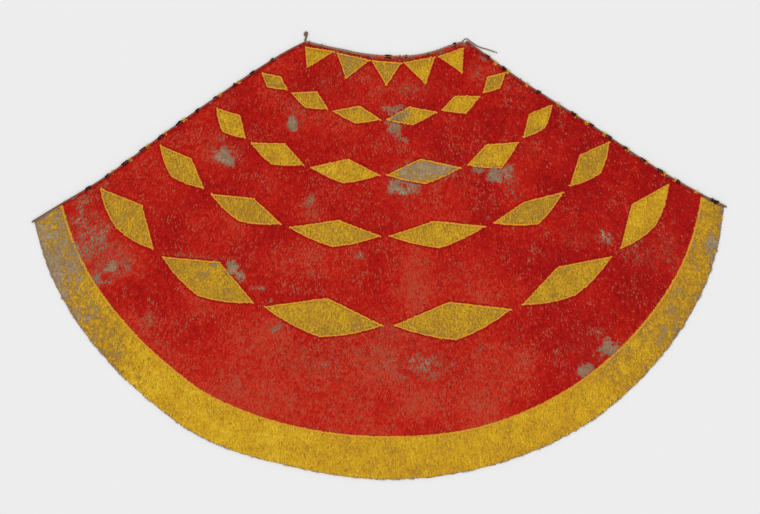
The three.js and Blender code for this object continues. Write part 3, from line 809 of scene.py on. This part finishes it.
def zone_of(points):
    """The zone of each point: outside, the red field, a figure by its number, or the border."""
    flat = points[:, :2]
    zone = np.full(len(flat), OUTSIDE)
    zone[inside(flat, field_outline)] = FIELD
    zone[inside(flat, border_outline)] = BORDER
    for i, outline in enumerate(figure_outlines):
        zone[inside(flat, outline)] = i + 1
    return zone


def bearing_of(points):
    """Bearing from straight down the back, in degrees, plus towards +X."""
    return np.degrees(np.arctan2(points[:, 0] - APEX[0], APEX[1] - points[:, 1]))


def gone_at_neck(points):
    """Share of the feathers gone from the strip of field along the neck cord."""
    off = np.linalg.norm(points[:, None, :2] - neck_path[None, ::4, :2], axis=2).min(axis=1) / MM
    gone = np.zeros(len(points))
    for at, wide, share in NECK_GONE:
        gone = np.maximum(gone, share * np.exp(-((points[:, 0] / MM - at) / wide) ** 2))
    return gone * eased(off, 25, 18)


def share_lost(points, zone):
    """Share of the feathers lost at each point, from 0 to 1."""
    ragged = layered(points, RAGGED) - 0.5
    speckled = layered(points, SPECKLED)
    left = np.ones(len(points))
    for x, y, wide, high, turn, loss in WORN_PLACES:
        turned = math.radians(turn)
        away = points[:, :2] / MM - (x, y)
        along = (away[:, 0] * math.cos(turned) + away[:, 1] * math.sin(turned)) / wide
        aside = (away[:, 1] * math.cos(turned) - away[:, 0] * math.sin(turned)) / high
        depth = 1 - np.hypot(along, aside)
        left *= 1 - loss * eased(depth + 1.5 * ragged, -0.32, 0.40)
    left *= 1 - gone_at_neck(points)
    mottle = np.where(zone == FIELD, FIELD_LOSS + 0.30 * eased(speckled, 0.60, 0.80), 0.0)
    streak = cloudy(points[:, :2] * (2.6, 0.62), 10, 5)
    for i, loss in enumerate(figure_loss):
        here = zone == i + 1
        mottle[here] = np.clip(loss * (0.35 + 1.3 * (0.6 * streak[here] + 0.4 * ragged[here] + 0.2)), 0, 1)
    here = zone == BORDER
    bearings, losses = np.array(BORDER_LOSS).T
    border = np.interp(bearing_of(points[here]), bearings, losses)
    off_field = points[here][:, None, :2] - border_inner[None]
    deep = np.min(np.linalg.norm(off_field, axis=2), axis=1) / BORDER_WEAR_DEPTH
    patchy = 2.2 * (layered(points[here], PATCHY) - 0.5) * np.minimum(1, 4 * border)
    mottle[here] = np.clip(border * (0.55 + 0.62 * deep) + patchy, 0, 1)
    return 1 - left * (1 - mottle)


def blended_patch(across, down):
    """Points over a panel, blended from its four sides."""
    u = np.linspace(0, 1, across + 1)[None, :, None]
    v = np.linspace(0, 1, down + 1)[:, None, None]
    top, bottom = even_points(neck_side, across + 1)[None], even_points(hem_side, across + 1)[None]
    left, right = even_points(left_side, down + 1)[:, None], even_points(right_side, down + 1)[:, None]
    corners = ((1 - u) * (1 - v) * neck_side[0] + u * (1 - v) * neck_side[-1]
               + (1 - u) * v * hem_side[0] + u * v * hem_side[-1])
    return (1 - v) * top + v * bottom + (1 - u) * left + u * right - corners


patch = blended_patch(NET_ACROSS, NET_DOWN).reshape(-1, 2)
on_hem = np.repeat(np.linspace(0, 1, NET_DOWN + 1) ** HEM_POWER, NET_ACROSS + 1)
from_apex = (patch - APEX) / np.linalg.norm(patch - APEX, axis=1)[:, None]
patch = patch + from_apex * (on_hem * (cloudy(patch, 18, 7) - 0.5) * HEM_WANDER * MM)[:, None]
net_points = np.column_stack([patch, np.full(len(patch), NET_TOP)])
corner = (np.arange(NET_DOWN)[:, None] * (NET_ACROSS + 1) + np.arange(NET_ACROSS)).reshape(-1)
net_faces = np.stack([corner, corner + NET_ACROSS + 1, corner + NET_ACROSS + 2, corner + 1], axis=1)

net_fibre, net_tree, net_shader = new_material("net_fibre", 0.9)
net_cloud = add_uneven(net_tree, 0.035, 0.0035)[0]
net_place = add_node(net_tree, "ShaderNodeTexCoord").outputs["Object"]
twines = []
for turn in (24, -24):
    turned = add_node(net_tree, "ShaderNodeMapping", Vector=net_place)
    turned.inputs["Rotation"].default_value = (0, 0, math.radians(turn))
    bands = add_node(net_tree, "ShaderNodeTexWave", Vector=turned.outputs["Vector"],
                     Scale=70.0, Distortion=1.2, Detail_Scale=40.0)
    twines.append(calculated(net_tree, "POWER", bands.outputs["Fac"], 2.0))
twine = calculated(net_tree, "MAXIMUM", *twines)
stretched = add_node(net_tree, "ShaderNodeMapping", Vector=net_place)
stretched.inputs["Scale"].default_value = (1.0, 0.22, 1.0)
thread = add_node(net_tree, "ShaderNodeTexNoise", Vector=stretched.outputs["Vector"],
                  Scale=230.0, Detail=2.0)
thread = add_node(net_tree, "ShaderNodeMapRange", Value=thread.outputs["Fac"], From_Min=0.35, From_Max=0.65)
knotted = calculated(net_tree, "MULTIPLY", twine, 0.45)
tone = calculated(net_tree, "MULTIPLY_ADD", thread.outputs["Result"], 0.55, knotted)
net_colour = mixed(net_tree, tone, NET_BROWN, NET_PALE)
net_colour = mixed(net_tree, calculated(net_tree, "MULTIPLY", net_cloud, 0.5), net_colour, NET_SHADED)
dust = calculated(net_tree, "MULTIPLY", net_cloud, 0.9)
dusty = calculated(net_tree, "MULTIPLY", read_value(net_tree, "dusty"), dust)
net_colour = mixed(net_tree, dusty, net_colour, NET_DUSTY)
# Under the feathers the net takes the colour of their bases, darkened as painted shade between them
down_and_shade_colour = mixed(net_tree, read_value(net_tree, "yellow"), RED_DOWN_AND_SHADE, YELLOW_DOWN_AND_SHADE)
net_colour = mixed(net_tree, read_value(net_tree, "cover"), net_colour, down_and_shade_colour)
net_tree.links.new(net_colour, net_shader.inputs["Base Color"])
net_bump = add_node(net_tree, "ShaderNodeBump", Strength=0.8, Distance=0.0012, Height=twine)
net_tree.links.new(net_bump.outputs["Normal"], net_shader.inputs["Normal"])

net = add_piece("net_foundation", net_points, net_faces, net_fibre, smooth=True)
net_zone = zone_of(net_points)
net_worn = share_lost(net_points, net_zone)
thinned = np.where(net_zone == FIELD, eased(net_worn, 0.32, 0.75), eased(net_worn, 0.45, 0.9))
set_values(net, "cover", np.where(net_zone == OUTSIDE, 0.0, 1 - thinned))
set_values(net, "dusty", (net_zone == BORDER) | (net_zone == lozenge_names.index("lozenge_r2_4") + 1))
set_values(net, "yellow", (net_zone > FIELD).astype(float))
bpy.context.view_layer.objects.active = net
thickness = net.modifiers.new("thickness", "SOLIDIFY")
thickness.thickness = NET_TOP
thickness.offset = -1
bpy.ops.object.modifier_apply(modifier=thickness.name)
places = np.empty(len(net.data.vertices) * 3, np.float32)
net.data.vertices.foreach_get("co", places)
places = places.reshape(-1, 3)
upper = places[:, 2] > NET_TOP / 2
places[upper, 2] += (cloudy(places[upper], 18, 8) * NET_ROUGHNESS).astype(np.float32)
net.data.vertices.foreach_set("co", places.ravel())
net.data.update()
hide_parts("net")
x, y = net_outline.T

# Bare net
# Where the feathers are gone the net's own twines stand free: pairs of them run down the cloak and
# are knotted to their neighbours by turns, which leaves long diamonds.
TWINE_SPACING = 4.4
KNOT_SPACING = 5.2
# Share of the spacing by which twines are drawn together, and how far they and their heights wander
TWINE_DRAWN = 0.85
TWINE_WANDER = 7
HEIGHT_WANDER = 0.8
TWINE_WIDTH = 1.5 * MM
TWINE_THICK = 0.6 * MM
TWINE_HEIGHT = 2.9 * MM
TWINE_OVERLAP = 0.12
TWINE_PALE = (0.600, 0.480, 0.345)
# Twines stand free where more than this share of the feathers is lost, and a few are broken off
BARE_ABOVE = 0.60
TWINES_WHOLE = 0.93


def twine_material():
    """Free twine of the net, dusty, each length of it a little lighter or darker."""
    material, tree, shader = new_material("net_twine", 0.9)
    grain = add_uneven(tree, 0.03, 0.0015)[1]
    shade = calculated(tree, "MULTIPLY", read_value(tree, "shade"), 0.9)
    tone = calculated(tree, "MULTIPLY_ADD", grain, 0.3, shade)
    tree.links.new(mixed(tree, tone, NET_BROWN, TWINE_PALE), shader.inputs["Base Color"])
    bump = add_node(tree, "ShaderNodeBump", Strength=0.5, Distance=0.0003, Height=grain)
    tree.links.new(bump.outputs["Normal"], shader.inputs["Normal"])
    return material


rng = np.random.default_rng(21)
low, high = net_outline.min(axis=0) / MM, net_outline.max(axis=0) / MM
columns = np.arange(low[0], high[0], TWINE_SPACING)
levels = np.arange(low[1], high[1], KNOT_SPACING)
grids = np.meshgrid(np.arange(len(columns)), np.arange(len(levels)))
column, level = (grid.ravel() for grid in grids)


def twine_end(column, level):
    """Where a twine is at a level of knots, drawn towards one neighbour and then the other."""
    sway = np.where((column + level) % 2, 0.5, -0.5) * TWINE_SPACING * TWINE_DRAWN
    flat = np.column_stack([low[0] + column * TWINE_SPACING + sway, low[1] + level * KNOT_SPACING]) * MM
    wander = np.column_stack([cloudy(flat, 30, 31), cloudy(flat, 30, 32)]) * TWINE_WANDER * MM
    return np.column_stack([flat + wander, TWINE_HEIGHT + cloudy(flat, 12, 33) * HEIGHT_WANDER * MM])


ends, starts = twine_end(column, level), twine_end(column, level + 1)
middles = (starts + ends) / 2
worn = share_lost(middles, zone_of(middles))
whole = rng.random(len(middles)) < TWINES_WHOLE
bare = (worn > BARE_ABOVE) & inside(middles[:, :2], net_outline) & whole
starts, ends = starts[bare], ends[bare]
overlap = (ends - starts) * TWINE_OVERLAP
twine_points = feather_points(starts - overlap, ends + overlap, np.full(len(starts), TWINE_WIDTH),
                              np.zeros(len(starts)), TWINE_THICK)
along_twine = cloudy(starts * (1, 0.35, 1), 5, 34) - 0.5
across_twine = cloudy(starts * (0.8, 2.0, 1), 22, 35) - 0.5
twine_shade = 0.30 + 0.60 * along_twine + 0.40 * (rng.random(len(starts)) - 0.5) + 1.30 * across_twine
bare_net = add_feathers("bare_net_twine", twine_points, np.clip(twine_shade, 0, 1), np.zeros(len(starts)),
                        twine_material())

# Feathers
# Small bundles of body feathers are tied to the net in courses, each over the roots of the one
# below it, and lie down towards the hem like a thick nap. Red ones fill the field, yellow ones the
# lozenges, the triangles and the border, and a closer row outlines each figure: orange inside it,
# and outside it a dark red row of painted shadow.
FEATHER_PITCH = 3.62
FEATHER_LONG = 15.0
FEATHER_WIDE = 5.2
FEATHER_THICK = 0.9 * MM
ROOT_HEIGHT = (1.9, 3.4)
TIP_HEIGHT = (5.6, 8.4)
# How far the feathers fan out, as a share of their bearing
FAN = 0.42
RED_PIECES = 4
# Share of the lost feathers that are gone, and the rest are worn to stubs
STUB_SHARE = 0.72
# Clouds in how high the nap stands
NAP = ((0.6, 55, 43), (0.4, 16, 44))
RED_STOPS = [
    (0.0, (0.380, 0.004, 0.004)), (0.30, (0.570, 0.006, 0.004)), (0.58, (0.735, 0.018, 0.007)),
    (0.80, (0.790, 0.056, 0.022)), (0.90, (0.600, 0.115, 0.060)), (1.0, (0.500, 0.190, 0.115)),
]
# Colour of the red rims: painted shadow in the dark red row just outside each figure, and deeper red along
# the front edges
RED_RIM_SHADOW_AND_DEEP = (0.480, 0.005, 0.004)
# Stretch of the neck cord that still has red feathers over it
NECK_RED = (-25, 95)
# Where the red is deeper or more orange: middle and half width and half height in mm, and by how much
RED_PATCHES = [
    (507, 501, 330, 190, -0.17), (-419, 11, 240, 150, -0.17), (-590, 390, 120, 90, -0.08),
    (303, 697, 46, 40, -0.22), (205, 672, 40, 30, -0.16), (289, -110, 140, 230, 0.10),
    (880, 80, 150, 120, -0.06), (-250, 640, 160, 80, -0.06),
]
# How much brighter or duller the border's yellow is, by bearing
BORDER_TONE = [
    (-60, 0.0), (-38, 0.0), (-32, 0.12), (-14, 0.12), (-8, 0.0), (36, 0.0), (42, -0.12), (58, -0.12),
]
# Feathers of a rim: height of roots and tips, half length and width, in mm
RIM_ROOTS = (4.0, 5.6)
RIM_TIPS = (6.9, 8.8)
RIM_HALF_LONG = (4.2, 6.0)
RIM_WIDE = (3.6, 5.6)
# How far inside a figure's outline a rim's middle is, and the spacing of its feathers, in mm
RED_RIM_INSET = -2.7
RED_RIM_SPACING = 3.0
YELLOW_RIM_INSET = 2.1
YELLOW_RIM_SPACING = 1.9
# The same of feathers tied along the neck and front edges, but with their whole length, and their
# spacing
EDGE_ROOTS = (4.6, 6.4)
EDGE_TIPS = (7.4, 9.3)
EDGE_LONG = (8, 13)
EDGE_WIDE = (3.2, 4.8)
EDGE_SPACING = 1.15
# Furthest that they are tied from the cord, and how far beside them there has to be red field
EDGE_DEPTH = 6.5
FIELD_BESIDE = 9
# How far the feathers along the neck keep off its black tufts
CLEAR_OF_TUFTS = 7

rng = np.random.default_rng(5)
columns = np.arange(low[0], high[0], FEATHER_PITCH)
courses = np.arange(low[1], high[1], FEATHER_PITCH)
x, y = (grid.ravel() for grid in np.meshgrid(columns, courses))
course = np.repeat(np.arange(len(courses)), len(columns))
middle = np.column_stack([x, y]) + rng.uniform(-0.55, 0.55, (len(x), 2)) * FEATHER_PITCH
middle = np.column_stack([middle, np.zeros(len(middle))]) * MM
zone = zone_of(middle)
middle, zone, course = middle[zone != OUTSIDE], zone[zone != OUTSIDE], course[zone != OUTSIDE]


def lie_of(points, rng):
    """The way the feathers point at each place: down, fanned out to the fronts, and a little ruffled."""
    ruffled = 26 * (cloudy(points, 60, 41) - 0.5) + 22 * (cloudy(points, 14, 42) - 0.5)
    return np.radians(FAN * bearing_of(points) + ruffled + rng.normal(0, 11, len(points)))


lost = share_lost(middle, zone)
chance = rng.random(len(middle))
kept = chance > STUB_SHARE * lost
stub = kept & (chance < lost)
middle, zone, course, lost, stub = middle[kept], zone[kept], course[kept], lost[kept], stub[kept]
lie = lie_of(middle, rng)
ahead = np.column_stack([np.sin(lie), -np.cos(lie), np.zeros(len(lie))])
long = FEATHER_LONG * (1 - 0.30 * lost) * rng.uniform(0.82, 1.15, len(middle)) * MM
long[stub] *= 0.5


def strays(middle, ahead, long, zone):
    """Whether each feather reaches into another zone, where the one past the outer edge doesn't count."""
    back_zone = zone_of(middle - ahead * long[:, None] * 0.40)
    front_zone = zone_of(middle + ahead * long[:, None] * 0.36)
    return (back_zone != zone) | ((front_zone != zone) & (front_zone != OUTSIDE))


# Those that stray are shortened first, and left out if they still do
long[strays(middle, ahead, long, zone)] *= 0.45
stays = ~strays(middle, ahead, long, zone)
middle, zone, course, lost, stub, ahead, long = (
    values[stays] for values in (middle, zone, course, lost, stub, ahead, long))
count = len(middle)
lift = (1 - 0.45 * lost) * (0.72 + 0.28 * layered(middle, NAP))
roots = middle - ahead * long[:, None] * 0.5
tips = middle + ahead * long[:, None] * 0.5
roots[:, 2] = rng.uniform(*ROOT_HEIGHT, count) * MM
lift[stub] = rng.uniform(0.0, 0.25, stub.sum())
tips[:, 2] = (ROOT_HEIGHT[1] + (rng.uniform(*TIP_HEIGHT, count) - ROOT_HEIGHT[1]) * lift) * MM
wide = FEATHER_WIDE * rng.uniform(0.75, 1.2, count) * np.where(long < 0.6 * FEATHER_LONG * MM, 0.8, 1) * MM
feathers = feather_points(roots, tips, wide, rng.normal(0, 0.30, count), FEATHER_THICK)


def rim_feathers(outline, inset, spacing, seed):
    """A close row of feathers laid along an outline, at a distance inside it, or outside if below 0."""
    rng = np.random.default_rng(seed)
    closed = np.concatenate([outline, outline[:1]])
    x, y = outline.T
    if x @ np.roll(y, -1) - y @ np.roll(x, -1) < 0:
        closed = closed[::-1]
    run = length_along(closed)
    count = int(run[-1] / (spacing * MM))
    at = (np.arange(count) + rng.uniform(-0.4, 0.4, count)) * run[-1] / count % run[-1]
    place = np.stack([np.interp(at, run, column) for column in closed.T], axis=1)
    onward = (at + 3 * MM) % run[-1]
    ahead = np.stack([np.interp(onward, run, column) for column in closed.T], axis=1) - place
    ahead /= np.maximum(np.linalg.norm(ahead, axis=1), 1e-9)[:, None]
    inward = np.column_stack([-ahead[:, 1], ahead[:, 0]])
    place = place + inward * (inset + rng.normal(0, 0.9, count))[:, None] * MM
    downhill = np.where(ahead[:, 1] > 0, -1, 1)[:, None]
    swing = rng.normal(0, 0.38, count)[:, None]
    ahead = downhill * (ahead * np.cos(swing) + inward * np.sin(swing))
    half = rng.uniform(*RIM_HALF_LONG, count)[:, None] * MM
    roots = np.column_stack([place - ahead * half, rng.uniform(*RIM_ROOTS, count) * MM])
    tips = np.column_stack([place + ahead * half, rng.uniform(*RIM_TIPS, count) * MM])
    widths = rng.uniform(*RIM_WIDE, count) * MM
    return feather_points(roots, tips, widths, rng.normal(0, 0.4, count), FEATHER_THICK)


def kept_rims(rims, bare_share, seed):
    """Rim feathers without those that are lost in the worst worn places."""
    middles = rims.mean(axis=1)
    lost = share_lost(middles, np.full(len(middles), OUTSIDE))
    return rims[np.random.default_rng(seed).random(len(rims)) > eased(lost, 0.3, 1.2) * bare_share]


def rim_strength(count):
    """How orange each feather of a yellow rim is."""
    return np.random.default_rng(55).uniform(0.45, 1.0, count)


red_vane = feather_vane("red_feather", RED_STOPS, RED_RIM_SHADOW_AND_DEEP, 0.58, 0.09)
is_red = zone == FIELD
# The red is paler towards the hem and deeper to the right, with clouds of two sizes, and pales with wear
drift = 0.16 * eased(-middle[:, 1], -0.30, 0.62) - 0.22 * eased(middle[:, 0], 0.1, 0.9)
red_shade = (0.46 + drift + 0.42 * (cloudy(middle, 120, 51) - 0.5) + 0.26 * (cloudy(middle, 11, 52) - 0.5)
             + rng.normal(0, 0.13, count) + 0.30 * lost)
for x, y, wide, high, change in RED_PATCHES:
    across, down = (middle[:, 0] / MM - x) / wide, (middle[:, 1] / MM - y) / high
    red_shade += change * np.exp(-across ** 2 - down ** 2)
red_shade = np.clip(red_shade, 0, 0.84)
faded = rng.random(count) < 0.02 + 0.16 * eased(cloudy(middle, 48, 55), 0.5, 0.9)
red_shade[faded] = rng.uniform(0.82, 0.94, faded.sum())
red_shade[stub] = rng.uniform(0.80, 0.88, stub.sum()) + 0.12 * eased(lost[stub], 0.2, 0.7)
# A row of red feathers just outside each figure, painted dark red as the figure's shadow on the field
red_rims = [
    rim_feathers(outline, RED_RIM_INSET, RED_RIM_SPACING, 60 + i)
    for i, outline in enumerate(figure_outlines)
]
red_rims = kept_rims(np.concatenate(red_rims), 0.9, 59)


def edge_feathers(path, outward, seed, nearest=-0.6):
    """Red feathers tied along an edge, from a distance inside its cord's middle, thinner in places."""
    rng = np.random.default_rng(seed)
    run = length_along(path)
    count = int(run[-1] / (EDGE_SPACING * MM))
    at = rng.uniform(0, run[-1] - EDGE_LONG[0] * MM, count)
    base = np.stack([np.interp(at, run, column) for column in path.T], axis=1)
    ahead = np.stack([np.interp(at + 4 * MM, run, column) for column in path.T], axis=1) - base
    ahead /= np.linalg.norm(ahead, axis=1)[:, None]
    inward = -outward * np.column_stack([-ahead[:, 1], ahead[:, 0], np.zeros(count)])
    base = base + inward * rng.uniform(nearest, EDGE_DEPTH, count)[:, None] * MM
    beside = base + inward * FIELD_BESIDE * MM
    swing = rng.normal(0.10, 0.22, count)[:, None]
    reach = rng.uniform(*EDGE_LONG, count)[:, None] * MM
    tips = base + (ahead * np.cos(swing) + inward * np.sin(swing)) * reach
    base[:, 2] = rng.uniform(*EDGE_ROOTS, count) * MM
    tips[:, 2] = rng.uniform(*EDGE_TIPS, count) * MM
    stays = (zone_of(beside) == FIELD) & (rng.random(count) < eased(cloudy(base, 13, seed), 0.12, 0.5))
    widths = rng.uniform(*EDGE_WIDE, count) * MM
    return feather_points(base, tips, widths, rng.normal(0, 0.35, count), FEATHER_THICK)[stays]


neck_middle = neck_path[(neck_path[:, 0] > NECK_RED[0] * MM) & (neck_path[:, 0] < NECK_RED[1] * MM)]
beside_neck = edge_feathers(neck_path, 1, 83, nearest=3.0)
at_neck = np.concatenate([beside_neck, edge_feathers(neck_middle, 1, 84, nearest=-3.0)])
middles = at_neck.mean(axis=1)
off_tufts = np.abs(middles[:, :1] / MM - NECK_TUFTS_AT).min(axis=1)
left_at_neck = np.random.default_rng(85).random(len(at_neck)) > gone_at_neck(middles)
at_neck = at_neck[(off_tufts > CLEAR_OF_TUFTS) & left_at_neck]
red_rims = np.concatenate([red_rims, edge_feathers(edge_paths["left"], -1, 81),
                           edge_feathers(edge_paths["right"], 1, 82), at_neck])
# Rims beside the figures and along the front edges take a deep shade and the dark rim colour, which beside
# the figures is painted shadow; those at the neck are faded red
rim_shade = np.full(len(red_rims), 0.3)
rim_shade[-len(at_neck):] = np.random.default_rng(86).uniform(0.45, 0.95, len(at_neck))
rim_shadow_and_deep = np.full(len(red_rims), 0.8)
rim_shadow_and_deep[-len(at_neck):] = 0
for i in range(RED_PIECES):
    chosen = is_red & (course % RED_PIECES == i)
    some = slice(i, None, RED_PIECES)
    piece = add_feathers(
        f"red_feathers_{i + 1}", np.concatenate([feathers[chosen], red_rims[some]]),
        np.clip(np.concatenate([red_shade[chosen], rim_shade[some]]), 0, 1),
        np.concatenate([np.zeros(chosen.sum()), rim_shadow_and_deep[some]]), red_vane)
    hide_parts("red_field")

# The yellow has its own clouds, broad ones and fine streaks, and goes dull with wear
cloud, streak = cloudy(middle, 40, 53) - 0.5, cloudy(middle * (2, 0.7, 1), 9, 54) - 0.5
yellow_shade = 0.55 + 0.26 * cloud + 0.22 * streak + rng.normal(0, 0.16, count) - 0.50 * lost
border_bearings, border_tones = np.array(BORDER_TONE).T
figure_tone = np.array([tone for row in LOZENGE_TONE for tone in row] + TRIANGLE_TONE)
in_figure = (zone > FIELD) & (zone < BORDER)
yellow_shade[in_figure] += figure_tone[zone[in_figure] - 1]
yellow_shade[zone == BORDER] += np.interp(bearing_of(middle[zone == BORDER]), border_bearings, border_tones)
yellow_shade = np.maximum(yellow_shade, 0.24)
yellow_shade[stub] = rng.uniform(0.0, 0.22, stub.sum())
groups = [(f"lozenges_row_{row + 1}_feathers", range(row * 6, row * 6 + 6)) for row in range(4)]
groups.append(("neck_triangles_feathers", range(24, 29)))
for name, members in groups:
    chosen = np.isin(zone, [i + 1 for i in members])
    rims = [
        rim_feathers(figure_outlines[i], YELLOW_RIM_INSET, YELLOW_RIM_SPACING, 90 + i)
        for i in members
    ]
    rims = kept_rims(np.concatenate(rims), 0.55, 58)
    rim_shade = np.random.default_rng(57).uniform(0.45, 0.9, len(rims))
    piece = add_feathers(name, np.concatenate([feathers[chosen], rims]),
                         np.clip(np.concatenate([yellow_shade[chosen], rim_shade]), 0, 1),
                         np.concatenate([np.zeros(chosen.sum()), rim_strength(len(rims))]), yellow_vane)
    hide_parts(*[(lozenge_names + triangle_names)[i] for i in members])

# Border
# A broad band of yellow feathers runs along the whole hem. They are tied to the net in the same way,
# reach past its edge, and start with two close rows where they meet the red.
BORDER_RIM_INSETS = (2.2, 4.8)
BORDER_RIM_SPACING = 2.8
BORDER_RIM_REACH = 9 * MM
chosen = zone == BORDER
border_rims = np.concatenate([
    rim_feathers(border_outline, inset, BORDER_RIM_SPACING, 130 + i)
    for i, inset in enumerate(BORDER_RIM_INSETS)
])
off_inner = border_rims.mean(axis=1)[:, None, :2] - even_points(border_inner, 500)[None]
off_inner = np.min(np.linalg.norm(off_inner, axis=2), axis=1)
border_rims = kept_rims(border_rims[off_inner < BORDER_RIM_REACH], 0.7, 56)
border_shade = np.concatenate([yellow_shade[chosen], np.full(len(border_rims), 0.7)])
border_orange = np.concatenate([np.zeros(chosen.sum()), rim_strength(len(border_rims))])
border = add_feathers("border_feathers", np.concatenate([feathers[chosen], border_rims]),
                      np.clip(border_shade, 0, 1), border_orange, yellow_vane)
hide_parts("hem_band")

# Hem
# The net's lower edge has no binding. Its twine ends stick out under the last feathers as a short
# uneven fringe.
FRINGE_SPACING = 1.5
# Heights of the ends' roots and tips, their width, how far inside the edge they start, and how far
# past it they reach at least and at most, all in mm
FRINGE_ROOTS = (1.6, 4.6)
FRINGE_TIPS = (1.3, 4.0)
FRINGE_WIDE = (1.4, 3.0)
FRINGE_THICK = 0.7 * MM
FRINGE_START = 5
FRINGE_REACH = (1.5, 8.5)
rng = np.random.default_rng(77)
hem_line = even_points(hem_side, int(length_along(hem_side)[-1] / MM / FRINGE_SPACING))
outward = (hem_line - APEX) / np.linalg.norm(hem_line - APEX, axis=1)[:, None]
count = len(hem_line)
swing = rng.normal(0, 0.5, count)[:, None]
outward = outward * np.cos(swing) + np.column_stack([-outward[:, 1], outward[:, 0]]) * np.sin(swing)
clump = eased(cloudy(hem_line, 16, 71), 0.25, 0.8)
roots = np.column_stack([hem_line - outward * FRINGE_START * MM, rng.uniform(*FRINGE_ROOTS, count) * MM])
least, most = FRINGE_REACH
reach = (least + (most - least) * clump * rng.random(count))[:, None] * MM
tips = np.column_stack([hem_line + outward * reach, rng.uniform(*FRINGE_TIPS, count) * MM])
widths = rng.uniform(*FRINGE_WIDE, count) * MM
fringe_points = feather_points(roots, tips, widths, rng.normal(0, 0.4, count), FRINGE_THICK)
fringe = add_feathers("hem_fringe", fringe_points, rng.random(count) * 0.35, np.zeros(count),
                      bare_net.data.materials[0])
